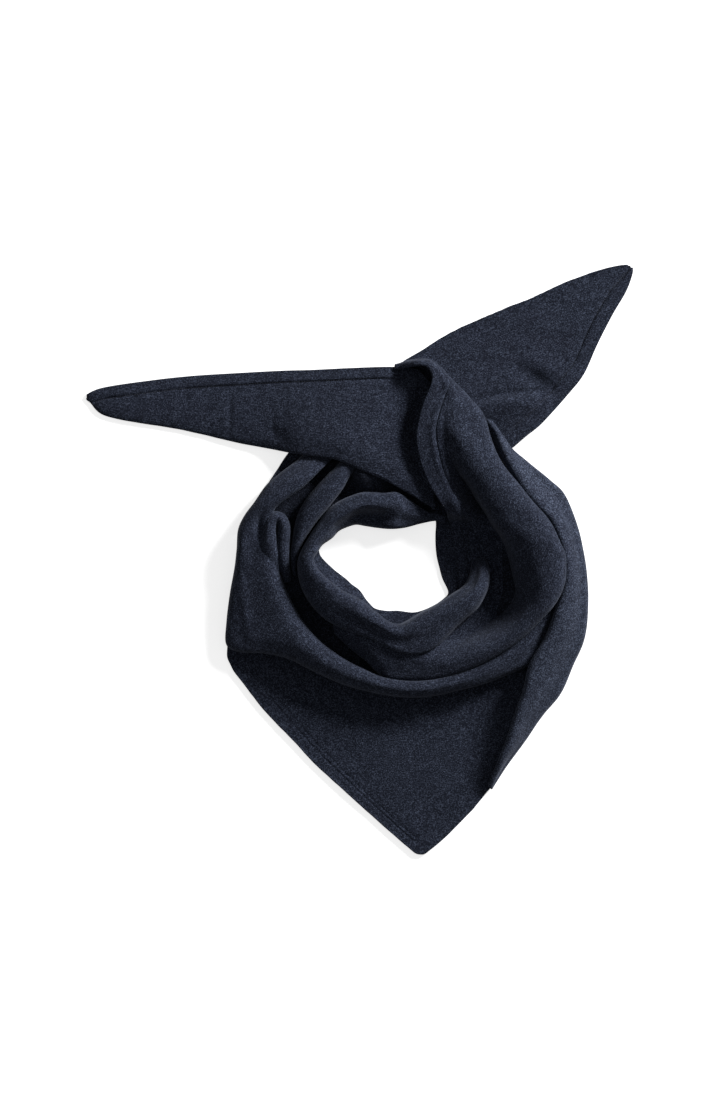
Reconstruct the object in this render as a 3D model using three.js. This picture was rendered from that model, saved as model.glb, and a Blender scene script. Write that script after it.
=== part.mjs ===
import * as THREE from "three";

// Knitted triangle scarf, laid down as a wound ring with its two tails crossed at the top.
// Millimetres, +Z up, resting on Z = 0. +Y points to the crossing, -Y to the point of the triangle.
// Every stretch of cloth that shows is one closed wall, lofted through the sections of a short table.

// Driving sizes
const WALL = 2.4;            // thickness of the fulled knit
const CLEAR = 0.8;           // clearance of the hidden core below the faces that lie on it
const FAR = 1000;            // further than any part of the scarf
const SETTLE = 1.6;          // a lower face less than this above the floor lies flat on it
const HEM = 14;              // width of the turned hem along the long edge
const HEM_MOST = 0.24;       // greatest share of a stretch's width that the hem takes
const HEM_RISE = 1.1;        // how far the doubled hem stands above the cloth beside it
const NECK = { x: 19, y: -8 };   // middle of the neck opening
const CORE_TURNS = 50;       // sections round the hidden core
const CORE_SAMPLES = 11;     // steps across each of them
const CORE_CROWN = 24;       // greatest height of the core
const CORE_LEAST = 1.5;      // least height of the core
const CORE_LAYERS = 3;       // folded layers that show as ridges round the core's side
const CORE_RIDGE = 1.2;      // how far each of those layers stands out
const CORE_FLOOR = 7;        // height of the hidden layers where nothing covers them

const NAVY = 0x222631;
const NAVY_DEEP = 0x191c25;

const finish = (colour) => new THREE.MeshStandardMaterial({ color: colour, roughness: 0.95, metalness: 0 });

// A table is a list of column names and a row of numbers for each section.
const table = (columns, rows) =>
  rows.map((row) => Object.fromEntries(columns.map((column, i) => [column, row[i]])));

const onRing = (degrees, radius) => {
  const turn = THREE.MathUtils.degToRad(degrees);
  return [NECK.x + radius * Math.cos(turn), NECK.y + radius * Math.sin(turn)];
};

// One value of a smooth curve through a list, where t counts along the list.
function along(list, t, smooth) {
  const last = list.length - 1;
  const i = Math.min(Math.floor(t), last - 1);
  const u = t - i;
  const b = list[i];
  const c = list[i + 1];
  if (!smooth) return b + (c - b) * u;
  const a = i > 0 ? list[i - 1] : 2 * b - c;
  const d = i + 2 <= last ? list[i + 2] : 2 * c - b;
  return 0.5 * (2 * b + (c - a) * u + (2 * a - 5 * b + 4 * c - d) * u * u + (3 * b - a - 3 * c + d) * u * u * u);
}

// The ends of a section. A cut edge just stops, a rolled edge goes over, down and back under itself.
const cutEdge = () => [];
const rolledEdge = (tuck) => (foot, next, width) => {
  const rise = next.z - foot.z;
  const side = next.f > foot.f ? 1 : -1;
  return [
    { f: foot.f + (side * tuck) / width, z: foot.z },
    { f: foot.f, z: foot.z + 0.36 * rise },
    { f: foot.f + 0.26 * (next.f - foot.f), z: foot.z + 0.8 * rise },
  ];
};

// The points of one section: heights at fractions of the way from the inner to the outer edge.
function sectionOf(row, names, innerEdge, outerEdge) {
  const points = names.map(([fraction, height]) => ({
    f: typeof fraction === "number" ? fraction : row[fraction],
    z: row[height],
  }));
  const width = Math.hypot(row.outX - row.inX, row.outY - row.inY);
  const first = innerEdge(points[0], points[1], width);
  const last = outerEdge(points.at(-1), points.at(-2), width).reverse();
  const inner = first.length ? points.slice(1) : points;
  const middle = last.length ? inner.slice(0, -1) : inner;
  return [...first, ...middle, ...last];
}

// A grid of points through all the sections of a stretch.
function gridOf({ rows, names, innerEdge = cutEdge, outerEdge = cutEdge, across, steps, smooth = true }) {
  const sections = rows.map((row) => sectionOf(row, names, innerEdge, outerEdge));
  const count = sections[0].length;
  const column = (pick, s) => along(rows.map(pick), s, smooth);
  const grid = [];
  for (let i = 0; i <= steps; i += 1) {
    const s = (i / steps) * (rows.length - 1);
    const inX = column((row) => row.inX, s);
    const inY = column((row) => row.inY, s);
    const outX = column((row) => row.outX, s);
    const outY = column((row) => row.outY, s);
    const fractions = [];
    const heights = [];
    for (let k = 0; k < count; k += 1) {
      fractions.push(along(sections.map((section) => section[k].f), s, smooth));
      heights.push(along(sections.map((section) => section[k].z), s, smooth));
    }
    const line = [];
    for (let j = 0; j <= across; j += 1) {
      const t = (j / across) * (count - 1);
      const f = along(fractions, t, true);
      const z = Math.max(along(heights, t, true), 0);
      line.push(new THREE.Vector3(inX + (outX - inX) * f, inY + (outY - inY) * f, z));
    }
    grid.push(line);
  }
  return grid;
}

// The outward normals of a grid, turned so that they point up where the cloth lies flat.
function normalsOf(grid) {
  const normals = grid.map((line, i) => line.map((point, j) => {
    const before = grid[Math.max(i - 1, 0)][j];
    const after = grid[Math.min(i + 1, grid.length - 1)][j];
    const left = line[Math.max(j - 1, 0)];
    const right = line[Math.min(j + 1, line.length - 1)];
    const run = new THREE.Vector3().subVectors(after, before);
    const cross = new THREE.Vector3().subVectors(right, left);
    return new THREE.Vector3().crossVectors(run, cross).normalize();
  }));
  const up = normals.flat().reduce((sum, normal) => sum + normal.z, 0);
  if (up < 0) normals.flat().forEach((normal) => normal.negate());
  return normals;
}

// A closed solid between an upper and a lower grid of the same size.
function solidBetween(upper, lower) {
  const rows = upper.length;
  const columns = upper[0].length;
  const positions = [...upper.flat(), ...lower.flat()].flatMap((point) => [point.x, point.y, point.z]);
  const top = (i, j) => i * columns + j;
  const under = (i, j) => rows * columns + i * columns + j;
  const triangles = [];
  const quad = (a, b, c, d) => triangles.push([a, b, c], [a, c, d]);
  for (let i = 0; i + 1 < rows; i += 1) {
    for (let j = 0; j + 1 < columns; j += 1) {
      quad(top(i, j), top(i + 1, j), top(i + 1, j + 1), top(i, j + 1));
      quad(under(i, j), under(i, j + 1), under(i + 1, j + 1), under(i + 1, j));
    }
    quad(top(i, 0), under(i, 0), under(i + 1, 0), top(i + 1, 0));
    quad(top(i + 1, columns - 1), under(i + 1, columns - 1), under(i, columns - 1), top(i, columns - 1));
  }
  for (let j = 0; j + 1 < columns; j += 1) {
    quad(top(0, j + 1), under(0, j + 1), under(0, j), top(0, j));
    quad(top(rows - 1, j), under(rows - 1, j), under(rows - 1, j + 1), top(rows - 1, j + 1));
  }
  return { positions, triangles };
}

// Turns a solid the right way out and makes its geometry.
function geometryOf({ positions, triangles }) {
  const corner = (i) => new THREE.Vector3(...positions.slice(3 * i, 3 * i + 3));
  const volume = triangles.reduce((sum, [a, b, c]) => sum + corner(a).dot(corner(b).cross(corner(c))), 0);
  const faces = volume < 0 ? triangles.map(([a, b, c]) => [a, c, b]) : triangles;
  const geometry = new THREE.BufferGeometry();
  geometry.setAttribute("position", new THREE.Float32BufferAttribute(positions, 3));
  geometry.setIndex(faces.flat());
  geometry.computeVertexNormals();
  return geometry;
}

const group = new THREE.Group();
const stretches = [];

// Adds one stretch of cloth: its grid is the upper face, and the lower face lies a wall's thickness inside.
// Where the lower face comes within reach of the floor, it is flat on the floor.
function addStretch(name, colour, shape) {
  const upper = gridOf(shape);
  const normals = normalsOf(upper);
  const lower = upper.map((line, i) => line.map((point, j) => {
    const inside = point.clone().addScaledVector(normals[i][j], -WALL);
    inside.z = inside.z < (shape.settles ?? 0) ? 0 : inside.z;
    return inside;
  }));
  const solid = solidBetween(upper, lower);
  const mesh = new THREE.Mesh(geometryOf(solid), finish(colour));
  mesh.name = name;
  group.add(mesh);
  stretches.push({ name, solid });
}

// The hem stands up by HEM_RISE over its width and steps down to the single cloth beside it.
const hemEdge = (foot, next, width) => {
  const side = next.f > foot.f ? 1 : -1;
  const slope = (next.z - foot.z) / Math.abs(next.f - foot.f);
  const share = Math.min(HEM / width, HEM_MOST);
  const at = (part, rise) => {
    const f = share * part;
    return { f: foot.f + side * f, z: foot.z + slope * f + rise };
  };
  return [at(0, HEM_RISE), at(0.9, HEM_RISE), at(1.15, 0)];
};

const ringTable = (columns, rows) => table(columns, rows).map((row) => {
  const [inX, inY] = onRing(row.inAngle, row.inR);
  const [outX, outY] = onRing(row.outAngle ?? row.inAngle, row.outR);
  return { ...row, inX, inY, outX, outY };
});

// The collar: the inner roll round the neck, from under the band's hem at the top, anticlockwise
// round the left and the front, to the curl at the right that turns down into the hollow.
addStretch("collar", NAVY, {
  rows: ringTable(
    ["inAngle", "inR", "outAngle", "outR", "inZ", "crestF", "crestZ", "dipF", "dipZ", "outZ"],
    [
      [41, 76, 46, 81, 12, 0.45, 17, 0.7, 17, 13],
      [48, 65, 52, 76, 10, 0.45, 23, 0.7, 22, 14],
      [55, 55, 66, 80, 6, 0.45, 28, 0.7, 27, 15],
      [72, 45, 76, 82, 4, 0.42, 32, 0.7, 30, 15],
      [93, 45, 85, 79, 3, 0.42, 34, 0.7, 31, 15],
      [107, 50, 96, 80, 2, 0.42, 34, 0.7, 31, 14],
      [119, 55, 105, 81, 2, 0.42, 34, 0.7, 31, 14],
      [135, 58, 127, 81, 2, 0.42, 34, 0.7, 31, 14],
      [147, 60, 145, 79, 2, 0.42, 35, 0.7, 32, 13],
      [159, 65, 161, 81, 2, 0.42, 36, 0.7, 34, 11],
      [168, 66, 171, 83.5, 2, 0.42, 37, 0.7, 36, 9],
      [180, 52, 180, 85, 2, 0.45, 38, 0.76, 36, 8],
      [190, 41, 190, 84, 2, 0.42, 38, 0.75, 34, 8],
      [200, 36, 200, 82.5, 2, 0.36, 38, 0.7, 31, 8],
      [212, 33, 212, 80, 2, 0.28, 37, 0.68, 29, 8],
      [225, 32, 225, 79, 2, 0.24, 37, 0.65, 28, 8],
      [237, 34, 237, 81, 3, 0.22, 37, 0.62, 28, 10],
      [248, 39, 248, 81, 8, 0.24, 37, 0.62, 30, 20],
      [260, 43, 260, 79, 10, 0.28, 37, 0.62, 32, 26],
      [270, 46, 270, 79, 10, 0.3, 38, 0.65, 33, 27],
      [280, 54, 280, 86, 10, 0.32, 39, 0.65, 34, 27],
      [290, 60, 290, 97, 10, 0.34, 39, 0.66, 35, 27],
      [300, 63, 300, 103, 11, 0.36, 40, 0.68, 36, 26],
      [312, 65, 312, 105, 11, 0.38, 40, 0.7, 36, 24],
      [325, 70, 325, 107, 11, 0.4, 40, 0.7, 37, 21],
      [338, 79, 338, 111, 12, 0.42, 40, 0.7, 37, 18],
      [349, 92, 349, 114, 14, 0.42, 38, 0.7, 35, 16],
      [357, 95, 357, 115, 15, 0.42, 34, 0.7, 32, 15],
      [365, 93, 367, 112, 15, 0.42, 27, 0.7, 26, 15],
      [373, 90, 375, 101, 15, 0.42, 21, 0.7, 20, 15],
    ]),
  names: [[0, "inZ"], ["crestF", "crestZ"], ["dipF", "dipZ"], [1, "outZ"]],
  innerEdge: rolledEdge(0.6),
  outerEdge: rolledEdge(2),
  across: 9,
  steps: 46,
});

// The neck edge: the hem of the long edge low down in the opening, at the front and the right.
addStretch("neck_edge", NAVY_DEEP, {
  rows: ringTable(
    ["inAngle", "inR", "outR", "inZ", "midZ", "outZ"],
    [
      [255, 40.5, 55, 2.6, 4.5, 6],
      [265, 43, 59, 2.6, 4.5, 6],
      [280, 48, 66, 2.6, 4.5, 6.5],
      [295, 53, 72, 2.6, 4.5, 6.5],
      [310, 63, 80, 2.6, 4.5, 6.5],
      [325, 70, 84, 2.6, 5, 7],
      [336, 78, 87, 2.6, 4, 6],
      [341, 80, 87, 2.6, 4, 6],
      [350, 71, 88.4, 2.6, 5, 7],
      [360, 66.5, 84.5, 2.8, 6, 8],
      [370, 65, 84.4, 3, 7, 10],
      [380, 67, 85.5, 3, 7.5, 11],
      [390, 72, 90.5, 3, 8, 12],
      [398, 79, 97, 3, 8, 12],
    ]),
  names: [[0, "inZ"], [0.5, "midZ"], [1, "outZ"]],
  across: 4,
  steps: 26,
  settles: SETTLE,
});

// The band: the wide stretch that folds back at the crossing, runs down the right side as a trough
// between its hem and its outer ridge, and passes under the collar at the front.
addStretch("band", NAVY, {
  rows: table(
    ["inX", "inY", "outX", "outY", "inZ", "dipF", "dipZ", "ridgeF", "ridgeZ", "outZ"],
    [
      [74, 203, 81, 200, 24, 0.35, 26, 0.6, 25, 20],
      [73, 189, 91, 188, 27, 0.4, 28, 0.66, 27, 16],
      [69, 177, 103, 178, 29, 0.45, 29, 0.7, 27, 11],
      [64, 164, 112, 170, 30, 0.48, 29, 0.74, 27, 10],
      [61, 148, 121, 160, 31, 0.42, 29, 0.7, 29, 10],
      [59, 129, 129, 146, 32, 0.36, 29, 0.64, 32, 11],
      [61, 113, 136, 125, 32, 0.34, 28, 0.6, 35, 14],
      [65, 98, 147, 102, 33, 0.34, 25, 0.64, 38, 17],
      [72, 81, 164, 80, 33, 0.32, 21, 0.72, 41, 21],
      [81, 67, 181, 59, 32, 0.3, 16, 0.76, 43, 25],
      [90, 55, 197, 42, 28, 0.27, 12, 0.78, 44, 27],
      [97, 40, 207, 24, 20, 0.25, 9, 0.78, 45, 27],
      [101, 17, 213, 5, 13, 0.22, 8, 0.78, 45, 27],
      [104, -5, 213, -21, 9, 0.2, 8, 0.76, 44, 27],
      [107, -24, 204, -42, 9, 0.22, 9, 0.74, 43, 26],
      [104, -43, 189, -60, 9, 0.3, 11, 0.74, 42, 25],
      [90, -61, 169, -80, 9, 0.36, 14, 0.76, 41, 24],
      [72, -72, 143, -98, 10, 0.42, 19, 0.76, 40, 23],
      [51, -76, 113, -112.5, 10, 0.44, 21, 0.76, 39, 21],
      [33, -73, 84, -122, 10, 0.46, 21, 0.76, 38, 20],
      [17, -67, 56, -125.5, 10, 0.5, 21, 0.78, 37, 18],
      [4, -62, 30, -123.5, 9, 0.5, 20, 0.78, 34, 16],
      [-7, -58, 15, -111, 7, 0.5, 16, 0.78, 24, 14],
    ]),
  names: [[0, "inZ"], ["dipF", "dipZ"], ["ridgeF", "ridgeZ"], [1, "outZ"]],
  innerEdge: hemEdge,
  outerEdge: rolledEdge(3),
  across: 11,
  steps: 44,
});

// The front fold: the outer roll that shows at the upper left, widens down the left side and
// narrows again along the front, until it passes under the right flap.
addStretch("front_fold", NAVY, {
  rows: ringTable(
    ["inAngle", "inR", "outAngle", "outR", "inZ", "crestF", "crestZ", "brimF", "brimZ", "outZ"],
    [
      [104, 133, 115, 150, 9, 0.35, 12, 0.68, 12, 9],
      [112, 124, 126, 142, 7, 0.35, 13, 0.68, 13, 8],
      [122, 118, 134, 143, 6, 0.35, 22, 0.68, 21, 5],
      [133, 116, 143, 146, 6, 0.35, 28, 0.68, 27, 4],
      [143, 120, 152, 147, 6, 0.35, 30, 0.68, 29, 4],
      [151, 124, 159, 149, 6, 0.35, 29, 0.68, 28, 4],
      [159, 116, 165, 149.5, 6, 0.32, 27, 0.7, 27, 4],
      [169, 110, 173, 147.5, 6, 0.28, 27, 0.74, 26, 4],
      [180, 105, 180, 145, 6, 0.24, 28, 0.76, 24, 4],
      [190, 100.5, 190, 143, 6, 0.22, 29, 0.76, 23, 4],
      [200, 97.5, 200, 147, 6, 0.22, 30, 0.78, 23, 4],
      [210, 96.5, 210, 154, 6, 0.24, 31, 0.82, 23, 4],
      [217, 96.5, 217, 149, 6, 0.28, 31, 0.8, 24, 4],
      [225, 97, 225, 135, 6, 0.34, 31, 0.72, 27, 4],
      [235, 98.5, 235, 129.5, 7, 0.36, 31, 0.68, 29, 4],
      [250, 102, 250, 128, 10, 0.36, 31, 0.66, 30, 4],
      [262, 107, 262, 130, 14, 0.36, 31, 0.66, 30, 4],
      [272, 114, 272, 133.5, 15, 0.36, 31, 0.66, 30, 4],
      [282, 120.5, 282, 139, 16, 0.36, 30, 0.66, 29, 4],
      [292, 127.5, 292, 146, 16, 0.36, 30, 0.66, 29, 5],
      [302, 134, 302, 153.5, 16, 0.36, 29, 0.66, 28, 5],
      [312, 142, 312, 165, 16, 0.36, 28, 0.66, 27, 5],
      [322, 150.5, 322, 179, 15, 0.34, 27, 0.66, 25, 5],
      [330, 160, 330, 193, 15, 0.32, 26, 0.62, 23, 6],
      [340, 174, 340, 195, 15, 0.32, 24, 0.6, 21, 8],
      [350, 189, 350, 200, 14, 0.4, 20, 0.6, 19, 12],
    ]),
  names: [[0, "inZ"], ["crestF", "crestZ"], ["brimF", "brimZ"], [1, "outZ"]],
  innerEdge: rolledEdge(1.5),
  outerEdge: rolledEdge(4),
  across: 8,
  steps: 40,
});

// The second strand, between the collar and the outer roll at the upper left.
addStretch("second_strand", NAVY, {
  rows: ringTable(
    ["inAngle", "inR", "outAngle", "outR", "inZ", "crestZ", "outZ"],
    [
      [93, 122, 103, 132, 11, 14, 11],
      [104, 107, 110, 118, 9, 18, 7],
      [108, 98.5, 119.5, 111, 10, 24, 6],
      [115, 89.5, 130, 106.5, 12, 28, 6],
      [126, 83, 139, 104, 12, 29, 6],
      [143, 80.5, 149, 100.5, 12, 28, 6],
      [159, 82.5, 162, 95, 10, 25, 6],
      [171, 85, 171.5, 93, 8, 21, 6],
      [179, 86, 179, 91.5, 8, 15, 6],
      [186, 86.5, 186, 89.5, 8, 10, 6],
    ]),
  names: [[0, "inZ"], [0.5, "crestZ"], [1, "outZ"]],
  innerEdge: rolledEdge(0.8),
  outerEdge: rolledEdge(0.8),
  across: 6,
  steps: 16,
});

// The hook fold: the small doubled tongue where the outer roll turns in at the left.
addStretch("hook_fold", NAVY, {
  rows: ringTable(
    ["inAngle", "inR", "outAngle", "outR", "inZ", "crestZ", "outZ"],
    [
      [152, 113, 153.4, 119, 8, 18, 8],
      [157, 104, 159.5, 114.9, 6, 24, 8],
      [166, 99, 167, 110.4, 6, 25, 8],
      [175, 96, 175.5, 106.4, 6, 24, 8],
      [183, 94.5, 183.5, 102.8, 6, 20, 8],
      [188, 93.3, 188.5, 97, 6, 13, 8],
    ]),
  names: [[0, "inZ"], [0.5, "crestZ"], [1, "outZ"]],
  innerEdge: rolledEdge(0.8),
  outerEdge: rolledEdge(0.8),
  across: 6,
  steps: 10,
});

// The left tail: hem along the upper edge, folded under along the lower one.
addStretch("left_tail", NAVY, {
  rows: table(
    ["inX", "inY", "outX", "outY", "inZ", "innerF", "innerZ", "outerF", "outerZ", "outZ"],
    [
      [-287, 174, -287, 169, 3, 0.4, 3, 0.6, 3, 0.2],
      [-283, 176, -283, 165, 3, 0.4, 3.6, 0.6, 3.6, 0.2],
      [-270, 181, -270, 154, 3, 0.4, 4.6, 0.65, 4.8, 0.2],
      [-235, 187, -235, 146, 3, 0.4, 5, 0.7, 5.4, 0.2],
      [-183, 193, -189, 138, 3, 0.42, 5, 0.7, 6, 0.2],
      [-138, 196, -141, 127, 3.4, 0.42, 6.5, 0.72, 7.5, 0.2],
      [-89, 199, -100, 118, 4.5, 0.4, 9, 0.72, 11, 2],
      [-47, 200, -63, 111, 8, 0.38, 16, 0.74, 20, 15],
      [-10, 202, -27, 105, 11, 0.38, 20, 0.76, 25, 20],
      [21, 203, 0, 94, 14, 0.38, 22, 0.78, 26, 21],
      [47, 206, 26, 82, 17, 0.38, 23, 0.8, 26, 21],
      [63, 205, 51, 69, 19, 0.38, 23, 0.82, 25, 20],
      [70, 194, 71, 57, 19, 0.38, 22, 0.84, 24, 20],
      [80, 182, 79, 52, 17, 0.38, 20, 0.84, 22, 19],
    ]),
  names: [[0, "inZ"], ["innerF", "innerZ"], ["outerF", "outerZ"], [1, "outZ"]],
  innerEdge: hemEdge,
  outerEdge: rolledEdge(7),
  across: 10,
  steps: 26,
  settles: SETTLE,
});

// The right tail: rough short edge at the upper left, hem of the long edge at the lower right.
addStretch("right_tail", NAVY, {
  rows: table(
    ["inX", "inY", "outX", "outY", "inZ", "innerF", "innerZ", "outerF", "outerZ", "outZ"],
    [
      [37, 197, 150, 113, 8, 0.35, 9.4, 0.7, 8.8, 4.8],
      [44, 207, 153, 116, 8, 0.35, 9.4, 0.7, 8.8, 4.8],
      [66, 220, 160, 119, 6, 0.35, 7.4, 0.7, 8.4, 4.4],
      [86, 232, 174, 131, 4, 0.35, 5.5, 0.75, 9, 4],
      [112, 246, 191, 145, 3.2, 0.35, 4.5, 0.75, 8, 4],
      [145, 260, 218, 175, 3, 0.35, 4, 0.7, 4, 3.4],
      [174, 272, 235, 197, 3, 0.35, 4, 0.7, 5, 3],
      [200, 284, 249, 228, 3, 0.35, 3.6, 0.7, 4, 3],
      [225, 295, 265, 259, 3, 0.35, 3.4, 0.7, 3.4, 3],
      [247, 303, 279, 283, 3, 0.35, 3.2, 0.7, 3.2, 3],
      [271, 309.5, 286, 301, 3, 0.4, 3.2, 0.6, 3.2, 3],
      [280, 310, 286, 307, 2.8, 0.4, 3, 0.6, 3, 2.8],
    ]),
  names: [[0, "inZ"], ["innerF", "innerZ"], ["outerF", "outerZ"], [1, "outZ"]],
  outerEdge: hemEdge,
  across: 7,
  steps: 24,
  settles: SETTLE,
});

// The right flap: the short edge turned over the front panel along the right side.
addStretch("right_flap", NAVY, {
  rows: table(
    ["inX", "inY", "outX", "outY", "inZ", "innerF", "innerZ", "outerF", "outerZ", "outZ"],
    [
      [133, 148, 138, 145, 13, 0.4, 13, 0.6, 12.5, 9],
      [144, 133, 151, 128, 16, 0.4, 16, 0.6, 14, 9],
      [148.5, 121, 161, 119, 18, 0.4, 18, 0.66, 15, 7.5],
      [155, 105, 177, 105, 20, 0.4, 19, 0.7, 16, 1],
      [169, 79, 203, 84, 24, 0.4, 22, 0.74, 17, 0.2],
      [185, 58, 216, 69, 27, 0.4, 25, 0.74, 19, 0.2],
      [200, 43, 225, 47, 29, 0.4, 27, 0.72, 22, 0.2],
      [211, 20, 232, 20, 29, 0.4, 27, 0.7, 22, 0.2],
      [217, -7, 238, -10, 29, 0.4, 27, 0.7, 22, 0.2],
      [215, -31, 240, -45, 28, 0.4, 26, 0.7, 21, 0.2],
      [207, -58, 236, -81, 27, 0.4, 25, 0.7, 20, 0.2],
      [197, -84, 225, -109, 26, 0.4, 23, 0.7, 18, 0.2],
      [182, -111, 211, -140, 23, 0.4, 20, 0.7, 15, 0.2],
      [175, -136, 195, -160, 19, 0.4, 16, 0.7, 12, 0.2],
      [167, -158, 180, -181, 15, 0.4, 13, 0.66, 10, 0.2],
      [157, -189, 163, -203, 11, 0.4, 10, 0.6, 8.5, 0.2],
      [147, -213, 149, -221, 8, 0.4, 7.5, 0.6, 7, 0.2],
      [136, -238, 137, -241, 6, 0.4, 6, 0.6, 6, 0.2],
    ]),
  names: [[0, "inZ"], ["innerF", "innerZ"], ["outerF", "outerZ"], [1, "outZ"]],
  outerEdge: rolledEdge(3),
  across: 7,
  steps: 32,
});

// The front panel: the point of the triangle, flat on the surface below the rolled front.
addStretch("front_panel", NAVY, {
  rows: table(
    ["inX", "inY", "outX", "outY", "inZ", "midZ", "outZ"],
    [
      [-63, 94, -75, 113, 3, 3, 3],
      [-82, 63, -97, 80, 3, 3, 3],
      [-97, 37, -113, 42, 3, 3, 3],
      [-103, 7, -126, 7, 3, 3, 3],
      [-107, -17, -132, -17, 3, 3, 3],
      [-109, -46, -137.5, -53, 3, 3, 3],
      [-103, -71, -140, -84, 3, 3, 3],
      [-89, -84, -137.5, -102, 3, 3, 3],
      [-79, -90, -131, -114.5, 3, 3, 3],
      [-58, -109, -100, -156, 3, 3.2, 3],
      [-26, -122, -48, -211, 3, 3.6, 3],
      [2, -130, -1, -256, 3, 3.8, 3],
      [26, -135, 46, -297, 3, 3.8, 3],
      [39, -137, 59, -308.5, 3, 3.8, 3],
      [47, -137, 67, -309.5, 3, 3.8, 3],
      [68, -137, 85, -294, 3, 3.8, 3],
      [105, -129, 128, -252, 3, 3.6, 3],
      [126, -124, 140, -226, 3, 3.4, 3],
      [147, -116, 168, -183, 3, 3.2, 3],
      [163, -105, 187, -158, 3, 3, 3],
      [178, -94, 204, -134, 3, 3, 3],
      [194, -73, 220, -102, 3, 3, 3],
      [208, -40, 230, -48, 3, 3, 3],
      [212, -14, 230, -14, 3, 3, 3],
      [206, 26, 220, 31, 3, 3, 3],
      [190, 52, 206, 64, 3, 3, 3],
    ]),
  names: [[0, "inZ"], [0.5, "midZ"], [1, "outZ"]],
  across: 4,
  steps: 25,
  smooth: false,
  settles: SETTLE,
});

// The hidden layers: all the cloth wound and folded out of sight, as one rounded ring. Its top
// follows the undersides of the stretches that lie on it, and its side shows folded edges.
const onTop = stretches.filter(({ name }) => !["neck_edge", "right_tail", "front_panel"].includes(name));

// The triangles of those stretches, each with its reach along X and Y.
const coverFaces = onTop.flatMap(({ solid: { positions, triangles } }) => triangles.map((corners) => {
  const [a, b, c] = corners.map((k) => new THREE.Vector3(...positions.slice(3 * k, 3 * k + 3)));
  const box = new THREE.Box3().setFromPoints([a, b, c]);
  const area = (b.x - a.x) * (c.y - a.y) - (c.x - a.x) * (b.y - a.y);
  return { a, b, c, box, area };
})).filter(({ area }) => Math.abs(area) > 1e-6);

// The height of the lowest of some faces over a point of the plan, or Infinity in the open.
function lowestOver(faces, [x, y]) {
  let lowest = Infinity;
  for (const { a, b, c, area } of faces) {
    const u = ((x - a.x) * (c.y - a.y) - (c.x - a.x) * (y - a.y)) / area;
    const v = ((b.x - a.x) * (y - a.y) - (x - a.x) * (b.y - a.y)) / area;
    if (u >= 0 && v >= 0 && u + v <= 1) lowest = Math.min(lowest, a.z + u * (b.z - a.z) + v * (c.z - a.z));
  }
  return lowest;
}

// Inner and outer radius of the hidden layers round the neck.
const coreEdges = table(["angle", "inR", "outR"], [
  [0, 86, 184],
  [12, 85, 178],
  [24, 90, 166],
  [36, 103, 160],
  [45, 94, 162],
  [54, 74, 168],
  [63, 64, 171],
  [72, 60, 178],
  [81, 58, 186],
  [92, 58, 186],
  [102, 60, 172],
  [112, 66, 142],
  [122, 70, 126],
  [132, 72, 120],
  [145, 74, 115],
  [160, 76, 115],
  [172, 73, 115],
  [184, 60, 119],
  [196, 52, 126],
  [208, 48, 127],
  [220, 47, 121],
  [232, 50, 117],
  [244, 57, 115],
  [256, 62, 116],
  [268, 66, 118],
  [280, 71, 125],
  [292, 76, 132],
  [304, 82, 140],
  [316, 87, 151],
  [328, 90, 165],
  [338, 94, 177],
  [348, 92, 183],
  [360, 86, 184],
]);

// The side of the core, from its top edge down to the floor, with one ridge for each folded layer.
function coreSide(angle, radius, height) {
  const points = [];
  const steps = 2 * CORE_LAYERS;
  for (let k = 1; k < steps; k += 1) {
    const out = radius + (k % 2 ? CORE_RIDGE : 0);
    points.push(new THREE.Vector3(...onRing(angle, out), height * (1 - k / steps)));
  }
  return points;
}

// The top of the core at a point: under the lowest face within one sample of it, less the
// clearance, and no higher than the floor of the hollow where the core is in the open.
function coreHeight(angle, radius, step, turn) {
  const parts = [-1, -0.75, -0.5, -0.25, 0, 0.25, 0.5, 0.75, 1];
  const points = parts.flatMap((da) => parts.map((dr) => onRing(angle + da * turn, radius + dr * step)));
  const reach = new THREE.Box3().setFromPoints(points.map(([x, y]) => new THREE.Vector3(x, y, 0)));
  reach.expandByVector(new THREE.Vector3(0, 0, FAR));
  const near = coverFaces.filter(({ box }) => box.intersectsBox(reach));
  const lowest = Math.min(...points.map((point) => lowestOver(near, point)));
  const open = lowestOver(near, onRing(angle, radius)) === Infinity;
  return Math.max(Math.min(lowest - CLEAR, open ? CORE_FLOOR : CORE_CROWN), CORE_LEAST);
}

function coreLoop(angle, inR, outR, turn) {
  const step = (outR - inR) / CORE_SAMPLES;
  const loop = [new THREE.Vector3(...onRing(angle, inR), 0)];
  for (let k = 0; k <= CORE_SAMPLES; k += 1) {
    const radius = inR + step * k;
    loop.push(new THREE.Vector3(...onRing(angle, radius), coreHeight(angle, radius, step, turn)));
  }
  loop.push(...coreSide(angle, outR, loop.at(-1).z));
  loop.push(new THREE.Vector3(...onRing(angle, outR), 0));
  return loop;
}

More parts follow.
